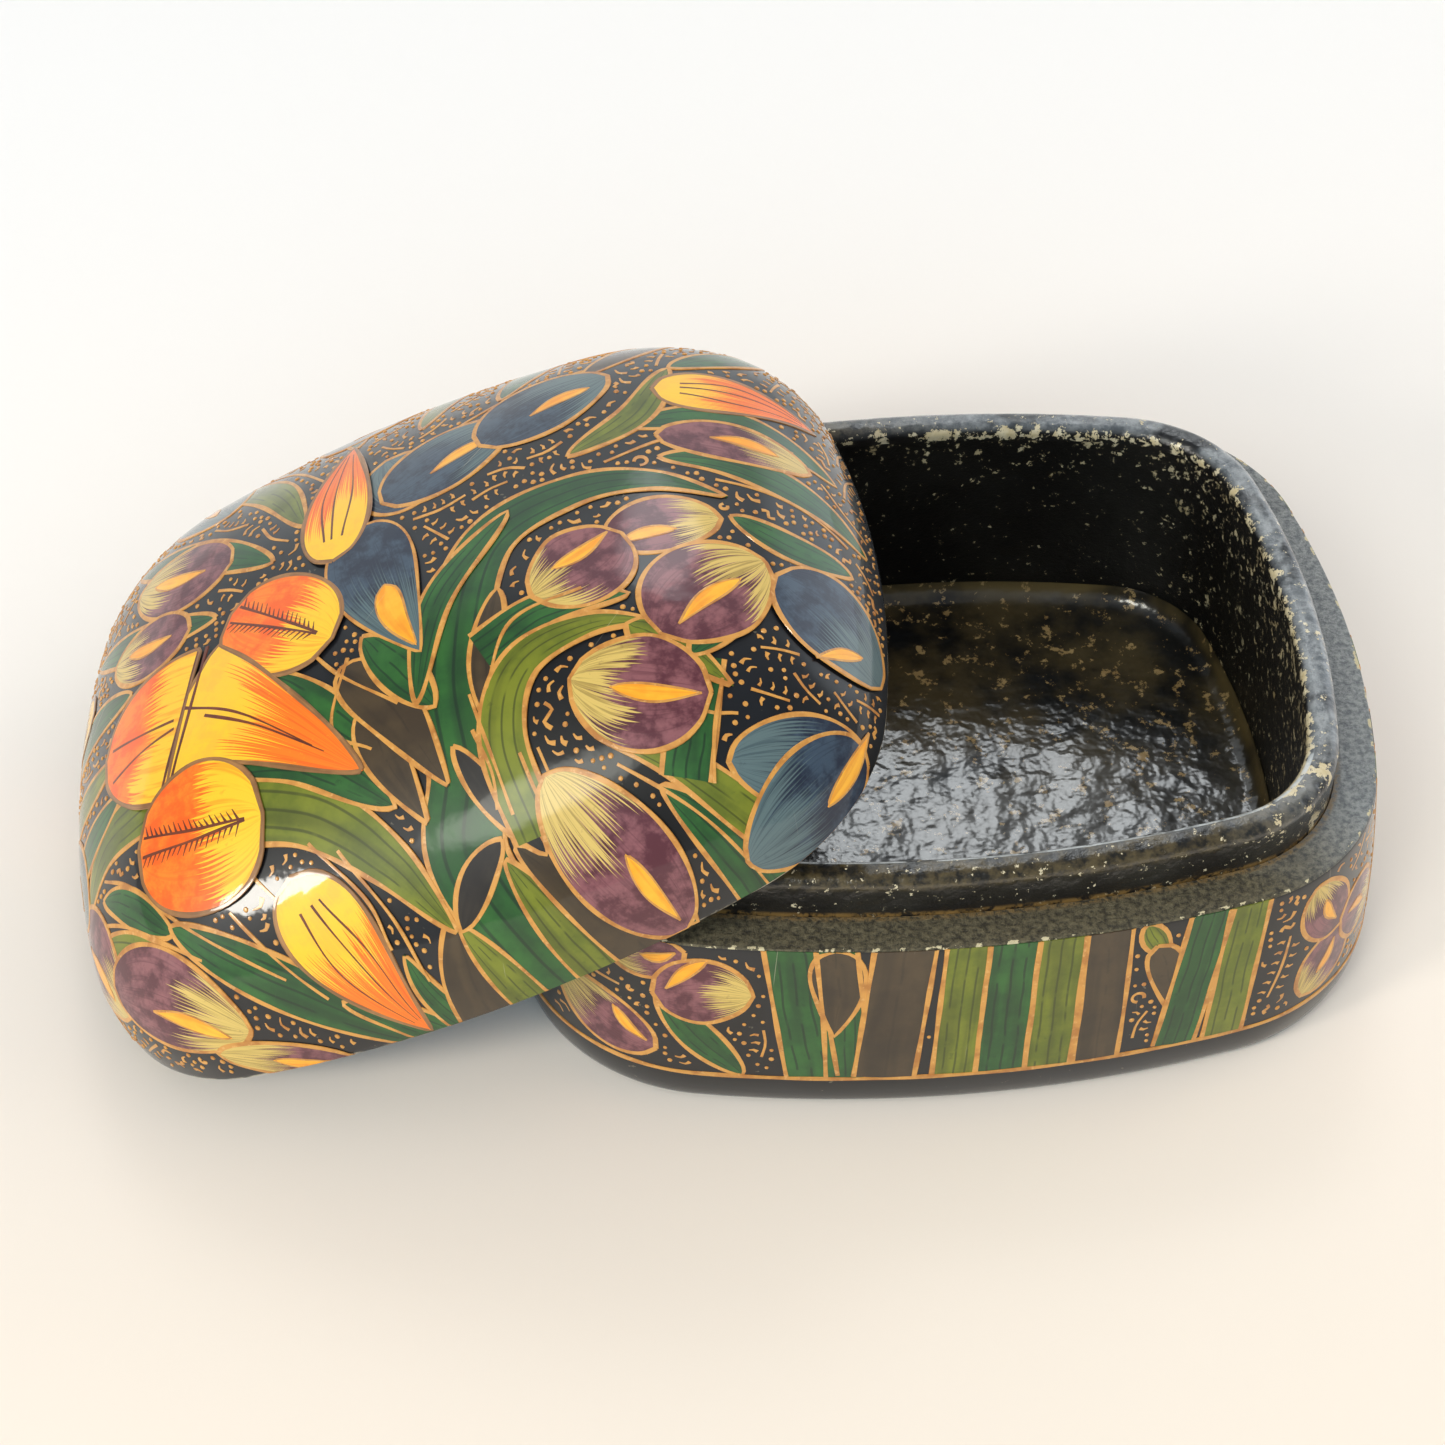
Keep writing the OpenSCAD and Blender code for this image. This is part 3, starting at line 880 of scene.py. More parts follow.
def wall_picture(art):
    """The base's wall: standing leaves at the front, irises at the left, then beds of both all round."""
    leaf = art.shape
    low, high = 5.5, 25.6
    leaf("green", 4.4, "blade", [(-35, 17.5), (-30.5, 11.5), (-25.5, low)])
    leaf("green", 5.6, "band", [(-18.0, low), (-19.3, 15), (-20.8, high)])
    leaf("green", 4.4, "band", [(-14.3, low), (-14.8, 15), (-15.8, high)])
    leaf("brown", 6.0, "drop", [(-16.0, high), (-15.4, 19), (-15.8, 12.5)])
    leaf("brown", 6.6, "band", [(-10.2, low), (-9.4, 15), (-8.4, high)])
    leaf("olive", 4.7, "band", [(-2.6, low), (-2.2, 15), (-1.6, high)])
    leaf("green", 5.5, "band", [(2.6, low), (2.9, 15), (3.4, high)])
    leaf("olive", 5.1, "band", [(7.8, low), (8.1, 15), (8.6, high)])
    leaf("brown", 5.0, "band", [(13.2, low), (13.5, 15), (13.8, high)])
    leaf("olive", 3.0, "bud", [(17.8, high), (19.2, 22.5), (20.6, 20)])
    leaf("brown", 4.2, "drop", [(19.2, 22), (20.6, 18), (21.6, 11)])
    leaf("green", 4.8, "band", [(22.2, low), (23.6, 15), (25.4, high)])
    leaf("olive", 4.6, "band", [(27.9, low), (28.6, 15), (29.8, high)])
    fall(art, "plum", (-35, 8.5), (-47.5, 14.5), 8.5, (-36.0, 9.5), (-40, 13.5))
    fall(art, "plum", (-32, 24.2), (-41, 21.5), 6.0, (-33, 24), (-37, 22.6))
    fall(art, "plum", (-35.5, 17.5), (-24.5, 18.5), 9.5, (-34.0, 18.5), (-29.5, 23.4))
    colours = ("green", "olive", "brown", "green", "olive")
    place, turn = 37.0, 0
    while place < PERIMETER - 60.0:
        if turn % 2 == 0:
            kind = ("plum", "blue", "amber")[(turn // 2) % 3]
            if kind == "amber":
                bud(art, (place + 1, 7), (place + 8, 23.5), 6.5)
                bud(art, (place + 9, 16), (place + 12.5, 6.5), 4.5)
            else:
                for throat, tip, width, tongue_from, tongue_to in (
                        ((6, 15), (0.5, 7), 8.0, (5, 13.5), (2.5, 9.5)),
                        ((6, 15), (1.5, 23.8), 7.5, (5, 16.6), (3, 21)),
                        ((6, 15.5), (14, 12.5), 8.5, (7.5, 15.2), (11.5, 13.8))):
                    spots = [(place + x, y) for x, y in (throat, tip, tongue_from, tongue_to)]
                    fall(art, kind, *spots[:2], width, *spots[2:])
            place += 16.5
        else:
            lean = 1.8 if turn % 4 == 1 else -1.8
            for k in range(4):
                wide = (5.0, 4.2, 5.6, 4.6)[(k + turn) % 4]
                foot = place + 2.6 + k * 6.1
                leaf(colours[(turn + k) % 5], wide, "band" if (k + turn) % 3 else "spear",
                     [(foot - lean / 2, low), (foot, 15), (foot + lean, high)])
            place += 26.0
        turn += 1


def filler(art, inside, spacing, sprigs):
    """Gold sprigs, commas, curls and dots wherever the ground still shows."""
    shown = art.top >= 0
    wide, close = grown(shown, 0.9 / art.CELL), grown(shown, 0.55 / art.CELL)
    rnd = art.random

    def free(points, where):
        p = np.asarray(points, float)
        ij = ((p - art.low) / art.CELL).round().astype(int)
        if ((ij < 0) | (ij >= where.shape)).any() or where[ij[:, 0], ij[:, 1]].any():
            return False
        return bool(inside(p).all())

    def claim(points, reach):
        p = np.asarray(points, float)
        ij = ((p - art.low) / art.CELL).round().astype(int)
        k = int(round(reach / art.CELL))
        for i, j in ij:
            wide[max(0, i - k):i + k + 1, max(0, j - k):j + k + 1] = True
            close[max(0, i - k):i + k + 1, max(0, j - k):j + k + 1] = True

    def directions(a):
        return np.array([math.cos(a), math.sin(a)]), np.array([-math.sin(a), math.cos(a)])

    def centres(where):
        spots = np.argwhere(~where)
        spots = spots[inside(spots * art.CELL + art.low)]
        order = list(range(len(spots)))
        rnd.shuffle(order)
        return [spots[i] * art.CELL + art.low for i in order]

    for centre in centres(wide)[:sprigs]:
        if not free([centre], wide):
            continue
        d, s = directions(rnd.random() * 2 * math.pi)
        for half in (4.5, 3.2, 2.2):
            bow = (rnd.random() - 0.5) * half
            stem = smooth_path([centre - d * half, centre + s * bow * 0.5, centre + d * half], LINE_STEP)
            if free(stem, wide):
                break
        else:
            continue
        art.stroke(stem, 0.42)
        across = sides(stem)
        rungs = []
        for i in range(1, len(stem) - 1):
            for way in (-1, 1):
                root = stem[i] + across[i] * way * 0.62
                ahead = (stem[min(i + 1, len(stem) - 1)] - stem[i]) * way
                rung = [root, root + across[i] * way * 0.5 + ahead * 0.25, root + across[i] * way * 0.95]
                if (i + (way > 0)) % 2 == 0 and free(rung, close):
                    art.stroke(rung, 0.44, taper=True)
                    rungs += rung
        claim(np.vstack([stem] + rungs), 0.7)
    for centre in centres(close):
        if not free([centre], close):
            continue
        sway = math.sin(centre[0] * 0.16 + 1.0) + math.cos(centre[1] * 0.19) + 0.08 * centre[0]
        d, s = directions(sway * 1.6 + (rnd.random() - 0.5) * 0.7)
        pick = rnd.random()
        r = 0.62 + rnd.random() * 0.45
        if pick < 0.66:
            path = [centre - d * r + s * 0.3 * r, centre + s * 0.5 * r, centre + d * r * 0.8 - s * 0.2 * r]
        elif pick < 0.80:
            path = [centre - d * 1.6 * r, centre - d * 0.6 * r + s * 0.7 * r,
                    centre + d * 0.5 * r - s * 0.5 * r, centre + d * 1.5 * r + s * 0.2 * r]
        elif pick < 0.88:
            path = [centre + (d * math.cos(k) + s * math.sin(k)) * r * 0.8 for k in np.linspace(0, 4.9, 8)]
        else:
            path = [centre]
        if not free(path, close):
            path = [centre + (q - centre) * 0.6 for q in path]
        if not free(path, close):
            if rnd.random() < 0.6:
                continue
            path = [centre]
        claim(path, spacing / 2)
        if len(path) == 1:
            art.dot(centre, 0.26 + 0.12 * rnd.random())
            continue
        art.stroke(path, 0.44 + 0.12 * rnd.random(), taper=pick < 0.66, smooth=True)


def grown(mask, reach):
    """The mask spread outwards by reach cells."""
    k = int(round(reach))
    out = mask.copy()
    for i in range(-k, k + 1):
        for j in range(-k, k + 1):
            if i * i + j * j <= k * k + 1:
                out |= np.roll(np.roll(mask, i, 0), j, 1)
    return out


# ---------------------------------------------------------------- the shells under the paint
def ring_angles(count):
    """Normal angles evenly spread along the rim."""
    return normal_angle(np.arange(count) * PERIMETER / count)


def loft(pile, rings, material_slots, slots, closed=True, across=None):
    """Skins a list of rings of the same count; across gives each ring's v, if its own length won't do."""
    rings = [np.asarray(r, float) for r in rings]
    count = len(rings[0])
    verts = np.vstack(rings)
    length = np.zeros(len(rings))
    for i in range(1, len(rings)):
        length[i] = length[i - 1] + np.linalg.norm(rings[i][0] - rings[i - 1][0])
    v = length[:, None] * 10 if across is None else np.asarray(across, float)[:, None]
    uv = np.stack(np.broadcast_arrays(np.arange(count)[None] / count, v), -1).reshape(-1, 2)
    faces = []
    n = len(rings)
    for i in range(n if closed else n - 1):
        k = (i + 1) % n
        for j in range(count):
            l = (j + 1) % count
            faces.append((i * count + j, i * count + l, k * count + l, k * count + j))
            slots.append(material_slots[i])
    pile.add(verts, faces, uv)


def ring(off, z, angles):
    """A level ring of the base in metres, moved in by off, at height z."""
    flat = plan(angles, off)
    return np.concatenate([flat, np.full((len(flat), 1), z)], 1) * MM


def lid_shell_piece(dome, ground, lining, rim):
    """The lid's board: lacquered outside, black inside, with a bare worn edge."""
    angles = ring_angles(360)
    flat = plan(angles)
    arc = np.linspace(math.pi / 2, 0.0, 110)
    rho, zeta = np.cos(arc) ** (2 / DOME_POWER), np.sin(arc) ** (2 / DOME_POWER)
    skin = np.concatenate([flat[None] * rho[:, None, None],
                           np.broadcast_to(DOME_H * zeta[:, None, None], (len(arc), len(flat), 1))], 2)
    down = np.gradient(skin, axis=0)
    along = np.roll(skin, -1, axis=1) - np.roll(skin, 1, axis=1)
    normal = np.cross(down, along)
    normal /= np.maximum(np.linalg.norm(normal, axis=2, keepdims=True), 1e-12)
    normal *= np.where(normal[..., 2:] < 0, -1.0, 1.0)
    skin = skin - GROUND_SUNK * normal
    rings = [skin[i] for i in range(1, len(arc) - 1) if skin[i][:, 2].min() > 0.9]
    kinds = [0] * len(rings)
    edge = [(GROUND_SUNK, 0.75), (GROUND_SUNK, 0.35), (0.42, 0.10), (0.8, 0.0), (1.8, 0.0), (2.7, 0.0),
            (3.6, 0.0), (4.1, 0.12), (LID_WALL, 0.5)]
    for off, z in edge:
        rings.append(np.concatenate([plan(angles, off), np.full((len(flat), 1), z)], 1))
        kinds.append(2 if off < 4.2 and z < 0.5 else (0 if off < 1 else 1))
    inner = plan(angles, LID_WALL)
    inner_h = DOME_H - LID_WALL
    for a in np.linspace(0.03, math.pi / 2, 60)[:-1]:
        rho, zeta = math.cos(a) ** (2 / DOME_POWER), math.sin(a) ** (2 / DOME_POWER)
        rings.append(np.concatenate([inner * rho, np.full((len(flat), 1), max(0.5, inner_h * zeta))], 1))
        kinds.append(1)
    world = [(r @ dome.turn.T + dome.origin) * MM for r in rings]
    pile, slots = Pile(), []
    loft(pile, world, kinds, slots, closed=False)
    count = len(angles)
    last = (len(rings) - 1) * count
    for first, top, flip, kind in ((0, DOME_H - GROUND_SUNK, False, 0), (last, inner_h, True, 1)):
        tip = (np.array([[0, 0, top]]) @ dome.turn.T + dome.origin) * MM
        pile.cap(first, count, tip, flip, slots, kind)
    piece = pile.build("lid_body", [ground, lining, rim], 60.0, slots)
    outward(piece)
    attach(piece, "lid")
    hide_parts("lid_shell")


def outward(piece):
    """Turns a closed shell's faces to look outwards."""
    bm = bmesh.new()
    bm.from_mesh(piece.data)
    bmesh.ops.recalc_face_normals(bm, faces=bm.faces)
    bm.to_mesh(piece.data)
    bm.free()


def base_shell_piece(wall, ground, ledge, board):
    """The base's wall, ledge and underside; the collar and the floor stand inside it."""
    angles = ring_angles(480)
    flat = plan(angles)
    out = np.stack([np.cos(angles), np.sin(angles)], -1)

    def skin(z, more):
        off = float(wall.offset(np.array(z))) + more
        return np.concatenate([flat - off * out, np.full((len(flat), 1), z)], 1) * MM

    outside = [(z, 0.25, 0) for z in (0.0, 0.15, 0.4, 0.8, 1.3, 1.9, 2.6, 3.4, 4.2, 5.0)]
    outside += [(z, 0.30, 0) for z in np.linspace(5.6, BASE_H - 0.7, 36)]
    outside += [(BASE_H - 0.35, 0.34, 3), (BASE_H - 0.12, 0.45, 3)]
    rings = [skin(z, more) for z, more, _ in outside]
    kinds = [kind for _, _, kind in outside]
    inward = [z - BASE_H for z, _, _ in outside]
    for off in (0.75, 1.2, 1.8, 2.4, 3.0, 3.6, 4.2, 4.7, LEDGE_W - 0.02):
        rings.append(ring(off, BASE_H - 0.10, angles))
        kinds.append(1)
        inward.append(off)
    kinds[-1] = 2
    for z in (2.0, 1.9):
        rings.append(ring(LEDGE_W - 0.02, z, angles))
        kinds.append(2)
        inward.append(9.0)
    pile, slots = Pile(), []
    loft(pile, rings, kinds, slots, closed=False, across=inward)
    count = len(angles)
    for first, z, flip in ((0, 0.0, True), ((len(rings) - 1) * count, 1.9, False)):
        pile.cap(first, count, np.array([[0, 0, z]]) * MM, flip, slots, 2)
    piece = pile.build("base_body", [ground, ledge, board, ledge], 50.0, slots)
    outward(piece)
    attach(piece, "base")
    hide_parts("base_shell")


def collar_piece(lacquer, inner):
    """The lining that stands up as the collar, lacquered from its rolled edge outwards, a little uneven."""
    angles = ring_angles(720)
    r = COLLAR_EDGE_R
    inside, outside = LEDGE_W + COLLAR_T, LEDGE_W
    sections = [(inside, z) for z in np.linspace(2.0, 24.0, 24)]
    sections += [(inside, z) for z in np.linspace(24.6, COLLAR_TOP - r, 10)]
    arc = np.linspace(0, math.pi / 2, 8)
    for a in arc[1:]:
        sections.append((inside - r * (1 - math.cos(a)), COLLAR_TOP - r * (1 - math.sin(a))))
    sections.append(((inside + outside) / 2, COLLAR_TOP))
    for a in arc[:0:-1]:
        sections.append((outside + r * (1 - math.cos(a)), COLLAR_TOP - r * (1 - math.sin(a))))
    sections += [(outside, z) for z in np.linspace(COLLAR_TOP - r, 24.6, 12)]
    sections += [(outside, z) for z in np.linspace(22.0, 2.0, 5)]
    rings, kinds, over = [], [], []
    middle = sections.index(((inside + outside) / 2, COLLAR_TOP))
    rolled = middle - len(arc)
    steps = [math.dist(a, b) for a, b in zip(sections, sections[1:])]
    for k, (off, z) in enumerate(sections):
        over.append(sum(steps[middle:k]) - sum(steps[k:middle]))
        p = ring(off, z, angles)
        if z > 4.0:
            for i in range(len(p)):
                n = np.array([math.cos(angles[i]), math.sin(angles[i]), 0.0])
                if off > (inside + outside) / 2 + 0.1:
                    n = -n
                if z > COLLAR_TOP - r + 0.05:
                    n = n * 0.5 + np.array([0, 0, 0.8])
                wave = noise.noise(Vector(p[i]) * 110.0) * 0.07 - 0.07
                wave -= 0.05 * max(0.0, noise.noise(Vector(p[i]) * 420.0))
                p[i] += n * wave * MM
        rings.append(p)
        kinds.append(1 if k + 1 < rolled else 0)
    pile, slots = Pile(), []
    loft(pile, rings, kinds, slots, across=over)
    piece = pile.build("collar", [lacquer, inner], 60.0, slots)
    outward(piece)
    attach(piece, "base")
    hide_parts("collar_lining")


def floor_piece(material):
    """The papered floor inside, turned up where it meets the lining, with the glue's lumps."""
    inside = LEDGE_W + COLLAR_T
    angles = ring_angles(360)
    rings = [ring(inside, 2.0, angles)]
    for a in np.linspace(0, math.pi / 2, 10):
        off = inside + FLOOR_FILLET * (1 - math.cos(a)) + 0.02
        rings.append(ring(off, FLOOR_TOP + FLOOR_FILLET * (1 - math.sin(a)), angles))
    edge = plan(angles, inside + FLOOR_FILLET + 0.02)
    for share in np.linspace(0.985, 0.02, 64):
        flat = edge * share
        z = np.full((len(flat), 1), FLOOR_TOP)
        p = np.concatenate([flat, z], 1) * MM
        for i in range(len(p)):
            lump = noise.noise(Vector(p[i]) * 95.0) * 0.16 - 0.16
            lump += noise.noise(Vector(p[i]) * 240.0) * 0.05
            p[i][2] += lump * MM * min(1.0, (1 - share) * 12)
        rings.append(p)
    pile, slots = Pile(), []
    loft(pile, rings, [0] * len(rings), slots, closed=False)
    count = len(angles)
    for first, z, flip in ((0, 2.0, True), ((len(rings) - 1) * count, FLOOR_TOP - 0.16, False)):
        pile.cap(first, count, np.array([[0, 0, z]]) * MM, flip, slots, 0)
    piece = pile.build("floor", [material], 60.0, slots)
    outward(piece)
    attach(piece, "base")
    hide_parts("floor_sheet")


# ---------------------------------------------------------------- plain finishes
def sheen_and_wear_side(m):
    """From 0 at the near left to 1 at the far right, where the ledge and the collar's rubbed edge turn
    slate grey with a painted sheen; it also lets the collar chip more towards the far right.
    """
    x, y, _ = m.split(m.place())
    reach = m.add(x, m.mul(y, 0.55))
    reach = m.add(reach, m.mul(m.sub(m.noise(m.place(), 60.0, 3.0), 0.5), 0.02))
    return m.between(reach, 0.008, 0.034)


def ledge_paint():
    """Matt dark paint over the board, rubbed through to cream in crumbs along its outer edge, with a
    painted slate-grey sheen towards the far right.
    """
    m = Nodes("ledge_paint")
    p = m.place()
    inward = m.split(m.uv())[1]
    grain = m.noise(p, 1300.0, 5.0, 0.75)
    near = m.mix(m.between(grain, 0.34, 0.66), rgb(46, 42, 33), rgb(112, 103, 78))
    # far is a painted sheen in slate grey, blended in towards the far right; near is the ledge's own olive
    # paint
    far = m.mix(m.between(grain, 0.36, 0.62), rgb(102, 106, 109), rgb(154, 156, 154))
    colour = m.mix(sheen_and_wear_side(m), near, far)
    cloud = m.noise(p, 110.0, 4.0)
    colour = m.mix(m.mul(m.between(cloud, 0.50, 0.68), 0.22), colour, rgb(30, 29, 26))
    edge = m.between(m.mag(inward), 0.3, 1.1, 0.0, 1.0)
    chip = m.noise(p, 520.0, 4.0, 0.65)
    limit = m.add(m.mul(edge, 0.17), 0.555)
    colour = m.chipped(colour, chip, limit, rgb(214, 200, 160))
    scar = m.noise(p, 95.0, 3.0, 0.5)
    outer = m.between(inward, 1.6, 2.4, 1.0, 0.0)
    scar = m.mul(m.between(scar, 0.705, 0.72), outer)
    colour = m.mix(scar, colour, rgb(220, 204, 158))
    joint = m.mul(m.between(inward, LEDGE_W - 0.9, LEDGE_W - 0.3), m.between(grain, 0.42, 0.56))
    colour = m.mix(m.mul(joint, 0.75), colour, rgb(128, 100, 56))
    relief = m.bump(m.add(grain, m.mul(cloud, 0.6)), 0.7, 0.0006)
    return m.finish(colour, 0.62, relief, coat=0.25, coat_rough=0.35, coat_bump=relief)


def collar_lacquer():
    """Gloss black outside, thin and brown over its rolled edge, with crumbs of cream board; a painted
    slate-grey sheen on the rolled edge towards the far right, and a painted highlight line along the near
    inner top edge.
    """
    m = Nodes("collar_lacquer")
    p = m.place()
    over = m.split(m.uv())[1]
    cloud = m.noise(p, 120.0, 4.0)
    fine = m.noise(p, 520.0, 5.0, 0.7)
    black = m.mix(m.between(cloud, 0.4, 0.65), rgb(12, 12, 14), rgb(32, 31, 28))
    rubbed = m.mix(m.between(fine, 0.38, 0.62), rgb(22, 20, 15), rgb(80, 68, 42))
    # slate is a painted sheen on the rolled edge, blended in towards the far right
    slate = m.mix(m.between(fine, 0.36, 0.62), rgb(82, 88, 93), rgb(138, 143, 146))
    rubbed = m.mix(m.mul(sheen_and_wear_side(m), 0.85), rubbed, slate)
    top = m.between(m.mag(m.sub(over, 0.6)), 1.5, 2.7, 1.0, 0.0)
    colour = m.mix(m.mul(top, m.between(cloud, 0.36, 0.50)), black, rubbed)
    inner = m.between(m.mag(m.add(over, 2.2)), 0.2, 1.5, 0.0, 1.0)
    side = m.mul(m.sub(1.0, sheen_and_wear_side(m)), 0.06)
    chip = m.noise(p, 430.0, 5.0, 0.72)
    worn_corner = {0: p, 1: (0.037, -0.028, 0.030)}
    spot = m.node("ShaderNodeVectorMath", worn_corner, operation="DISTANCE").outputs["Value"]
    spot = m.mul(m.between(spot, 0.004, 0.013, 1.0, 0.0), 0.10)
    limit = m.add(m.add(m.mul(inner, 0.135), 0.50), side)
    limit = m.sub(limit, spot)
    board = m.mix(m.noise(p, 900.0, 2.0), rgb(176, 150, 92), rgb(232, 220, 188))
    colour = m.chipped(colour, chip, limit, board, soft=0.015)
    crumb = m.noise(p, 900.0, 4.0, 0.7)
    colour = m.chipped(colour, crumb, m.add(m.mul(inner, 0.05), 0.585), board, share=0.85)
    # A painted highlight: a thin pale blue-white line along the near inner top edge, broken by noise
    line = m.between(m.mag(m.add(over, 1.25)), 0.25, 0.40, 1.0, 0.0)
    line = m.mul(line, m.between(m.split(p)[1], -0.026, -0.020, 1.0, 0.0))
    line = m.mul(line, m.between(m.noise(p, 260.0, 3.0), 0.40, 0.52, 0.0, 0.9))
    colour = m.mix(line, colour, rgb(200, 204, 204))
    foot = m.between(m.split(p)[2], (BASE_H + 0.1) * MM, (BASE_H + 0.7) * MM, 1.0, 0.0)
    glue = m.mul(foot, m.between(fine, 0.42, 0.55))
    colour = m.mix(m.mul(glue, 0.8), colour, rgb(140, 106, 56))
    relief = m.bump(m.add(m.noise(p, 150.0, 3.0), m.mul(fine, 0.25)), 0.8, 0.0010)
    return m.finish(colour, 0.42, relief, coat=1.0, coat_rough=0.10, coat_bump=relief, coat_ior=1.5)


def lining_black():
    """Brushed black inside, satin, with specks of cream and ochre, thickest under the rim."""
    m = Nodes("lining_black")
    p = m.place()
    cloud = m.noise(p, 70.0, 4.0)
    colour = m.mix(m.between(cloud, 0.35, 0.7), rgb(5, 5, 5), rgb(20, 19, 16))
    z = m.split(p)[2]
    high = m.between(z, 0.018, COLLAR_TOP * MM)
    right = m.between(m.split(p)[0], 0.024, 0.042)
    chip = m.noise(p, 480.0, 6.0, 0.74)
    limit = m.sub(0.65, m.add(m.mul(high, 0.06), m.mul(right, 0.03)))
    board = m.mix(m.noise(p, 260.0, 2.0), rgb(140, 112, 60), rgb(216, 204, 168))
    colour = m.chipped(colour, chip, limit, board)
    crumb = m.noise(p, 1000.0, 4.0, 0.7)
    few = m.sub(0.655, m.add(m.mul(high, 0.04), m.mul(right, 0.04)))
    colour = m.chipped(colour, crumb, few, board, share=0.8)
    relief = m.bump(m.add(m.noise(p, 160.0, 4.0), m.mul(chip, 0.5)), 0.7, 0.0010)
    return m.finish(colour, 0.5, relief, coat=0.4, coat_rough=0.20, coat_bump=relief)


def floor_gloss():
    """Thick black paint on the floor, pooled in lumps, brown and ochre where it is thin."""
    m = Nodes("floor_gloss")
    p = m.place()
    cloud = m.noise(p, 75.0, 5.0, 0.6)
    back = m.between(m.split(p)[1], -0.012, 0.022)
    thin = m.mix(back, rgb(40, 36, 26), rgb(76, 64, 38))
    colour = m.mix(m.between(cloud, 0.38, 0.60), rgb(12, 12, 12), thin)
    z = m.split(p)[2]
    lip = m.between(z, (FLOOR_TOP + 0.2) * MM, (FLOOR_TOP + 1.6) * MM)
    fade = m.between(m.noise(p, 90.0, 3.0), 0.34, 0.6)
    colour = m.mix(m.mul(m.mul(lip, fade), 0.75), colour, rgb(110, 92, 54))
    chip = m.noise(p, 420.0, 6.0, 0.74)
    board = m.mix(m.noise(p, 300.0, 2.0), rgb(120, 84, 36), rgb(206, 178, 122))
    colour = m.mix(m.between(chip, 0.580, 0.612), colour, board)
    lumps = m.add(m.noise(p, 165.0, 3.0, 0.5), m.mul(m.noise(p, 520.0, 2.0), 0.14))
    relief = m.bump(lumps, 0.62, 0.0010)
    return m.finish(colour, 0.45, relief, coat=1.0, coat_rough=0.16, coat_bump=relief, coat_ior=1.75)


def bare_edge():
    """The lid's resting edge, rubbed to pale board."""
    m = Nodes("bare_edge")
    p = m.place()
    patch = m.noise(p, 260.0, 4.0, 0.6)
    colour = m.mix(m.between(patch, 0.42, 0.58), rgb(40, 38, 34), rgb(196, 186, 164))
    return m.finish(colour, 0.6, m.bump(patch, 0.3, 0.0003))


def paper_white():
    """The pale sweep under the box, with a painted warm shade that makes it darker and warmer towards the
    viewer.
    """
    m = Nodes("sweep")
    p = m.place()
    y = m.split(p)[1]
    # Painted warm shade: darker and warmer towards the viewer, paler and neutral further back
    colour = m.mix(m.between(y, -0.16, 0.20), rgb(241, 226, 209), rgb(245, 242, 240))
    grain = m.noise(p, 900.0, 2.0)
    colour = m.mix(m.mul(grain, 0.02), colour, rgb(226, 222, 214))
    return m.finish(colour, 0.8)


# ---------------------------------------------------------------- the room
def camera():
    az, el, reach = math.radians(-5.879), math.radians(46.238), 0.4040
    aim = Vector((-0.02185, 0.01726, 0.0))
    back = Vector((math.sin(az) * math.cos(el), -math.cos(az) * math.cos(el), math.sin(el)))
    data = bpy.data.cameras.new("camera")
    data.lens, data.sensor_width = 81.2, 36.0
    data.clip_start, data.clip_end = 0.01, 20.0
    cam = bpy.data.objects.new("camera", data)
    cam.location = aim + back * reach
    cam.rotation_euler = back.to_track_quat("Z", "Y").to_euler()
    bpy.context.scene.collection.objects.link(cam)
    bpy.context.scene.camera = cam


def window(name, towards, reach, size, power, colour, mirrored=True):
    """A soft rectangular light in a direction, facing the box; mirrored ones also show in the varnish."""
    data = bpy.data.lights.new(name, "AREA")
    data.shape = "RECTANGLE"
    data.size, data.size_y = size
    data.energy = power
    data.color = colour
    light = bpy.data.objects.new(name, data)
    way = Vector(towards).normalized()
    light.location = way * reach
    light.rotation_euler = way.to_track_quat("Z", "Y").to_euler()
    light.visible_glossy = mirrored
    bpy.context.scene.collection.objects.link(light)


def sky():
    """Dim, even daylight with glows behind, to the back right and to the front left."""
    world = bpy.data.worlds.new("world")
    bpy.context.scene.world = world
    world.use_nodes = True
    tree = world.node_tree
    tree.nodes.clear()
    out = tree.nodes.new("ShaderNodeOutputWorld")
    back = tree.nodes.new("ShaderNodeBackground")
    where = tree.nodes.new("ShaderNodeTexCoord").outputs["Generated"]
    total = None
    for towards, colour, edge, full in GLOWS:
        dot = tree.nodes.new("ShaderNodeVectorMath")
        dot.operation = "DOT_PRODUCT"
        tree.links.new(where, dot.inputs[0])
        dot.inputs[1].default_value = Vector(towards).normalized()
        ramp = tree.nodes.new("ShaderNodeMapRange")
        ramp.interpolation_type = "SMOOTHSTEP"
        tree.links.new(dot.outputs["Value"], ramp.inputs[0])
        ramp.inputs[1].default_value, ramp.inputs[2].default_value = edge, full
        scale = tree.nodes.new("ShaderNodeVectorMath")
        scale.operation = "SCALE"
        scale.inputs[0].default_value = colour
        tree.links.new(ramp.outputs[0], scale.inputs["Scale"])
        if total is None:
            total = scale.outputs[0]
            continue
        add = tree.nodes.new("ShaderNodeVectorMath")
        tree.links.new(total, add.inputs[0])
        tree.links.new(scale.outputs[0], add.inputs[1])
        total = add.outputs[0]
    tree.links.new(total, back.inputs["Color"])
    back.inputs["Strength"].default_value = 1.0
    tree.links.new(back.outputs[0], out.inputs[0])


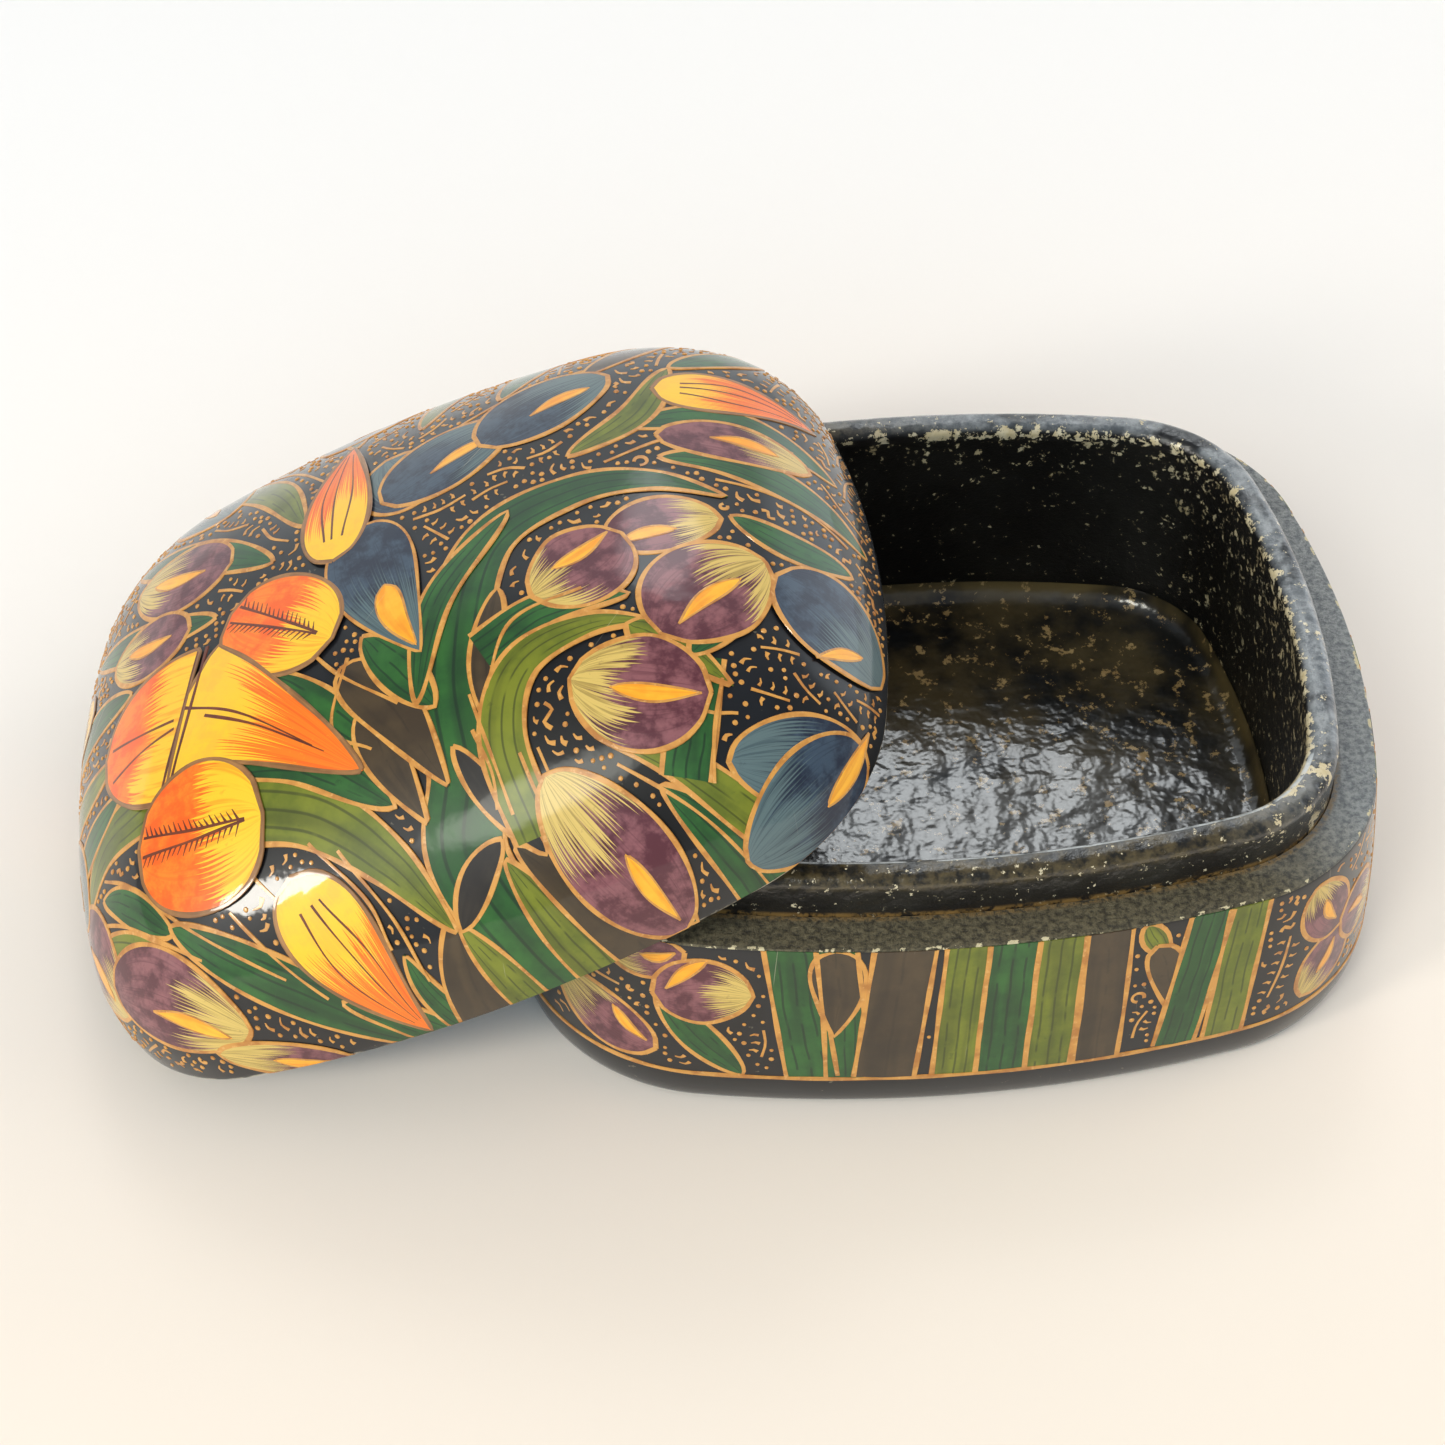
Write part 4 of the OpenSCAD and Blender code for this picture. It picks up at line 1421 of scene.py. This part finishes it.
# Direction, colour and strength, and the cosines where a glow starts and is full; the first is even
GLOWS = (
    ((0, 0, 1), (0.13, 0.142, 0.158), -1.6, -1.2),
    ((0.05, 0.67, 0.74), (4.3, 4.5, 4.6), 0.984, 0.996),
    ((0.77, 0.57, 0.25), (1.3, 1.4, 1.5), 0.88, 0.96),
    ((-0.47, -0.55, 0.70), (8.0, 8.0, 7.2), 0.980, 0.994),
    ((-0.10, 0.90, 0.25), (0.80, 0.84, 0.85), 0.60, 0.95),
)


def room():
    """The pale sweep, the sky and the lamps."""
    mesh = bpy.data.meshes.new("sweep")
    half = 1.5
    corners = [(-half, -half, 0), (half, -half, 0), (half, half, 0), (-half, half, 0)]
    mesh.from_pydata(corners, [], [(0, 1, 2, 3)])
    mesh.materials.append(paper_white())
    sweep = bpy.data.objects.new("sweep", mesh)
    bpy.context.scene.collection.objects.link(sweep)
    sky()
    window("key", (-0.79, -0.42, 0.43), 1.1, (0.19, 0.17), 4.5, (1.0, 0.96, 0.88))
    window("fill", (0.25, -0.18, 1.0), 1.7, (2.8, 2.6), 14.2, (1.0, 0.955, 0.90), mirrored=False)
    window("shade", (-0.25, -0.80, 0.45), 1.3, (1.8, 0.8), 9.2, (0.58, 0.80, 1.0), mirrored=False)
    window("right", (0.90, 0.05, 0.50), 1.4, (1.4, 0.9), 6.0, (1.0, 0.92, 0.82), mirrored=False)
    view = bpy.context.scene.view_settings
    view.view_transform = "Standard"
    view.look = "None"
    view.exposure = 0.0


# ---------------------------------------------------------------- put together
def painted(art, paints, prefix, body):
    """One piece for each paint, riding on a body."""
    for kind, pile in art.piles.items():
        piece = pile.build(prefix + "_" + kind, [paints[kind]], 50.0)
        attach(piece, body)


def main():
    paints = paint_materials()
    dome, wall = Dome(), Wall()
    black = lining_black()
    lid_shell_piece(dome, paints["ground"], black, bare_edge())
    base_shell_piece(wall, paints["ground"], ledge_paint(), black)
    collar_piece(collar_lacquer(), black)
    floor_piece(floor_gloss())

    lid_art = Painting(dome, (-72, 72), (-72, 72), SEED)
    lid_picture(lid_art)

    def on_lid(p):
        return np.hypot(p[:, 0], p[:, 1]) < dome.reach(np.arctan2(p[:, 1], p[:, 0])) - 1.6

    filler(lid_art, on_lid, 1.15, 900)
    painted(lid_art, paints, "lid", "lid")

    wall_art = Painting(wall, (-52, PERIMETER - 50), (0, 25.5), SEED + 1)
    wall_picture(wall_art)
    wall_art.stroke([(-52, FOOT_LINE), (PERIMETER - 52, FOOT_LINE)], 0.6, level=3)

    def on_wall(p):
        return (p[:, 1] > 6.6) & (p[:, 1] < BASE_H - 1.0)

    filler(wall_art, on_wall, 1.15, 500)
    painted(wall_art, paints, "base", "base")
    room()
    camera()


main()
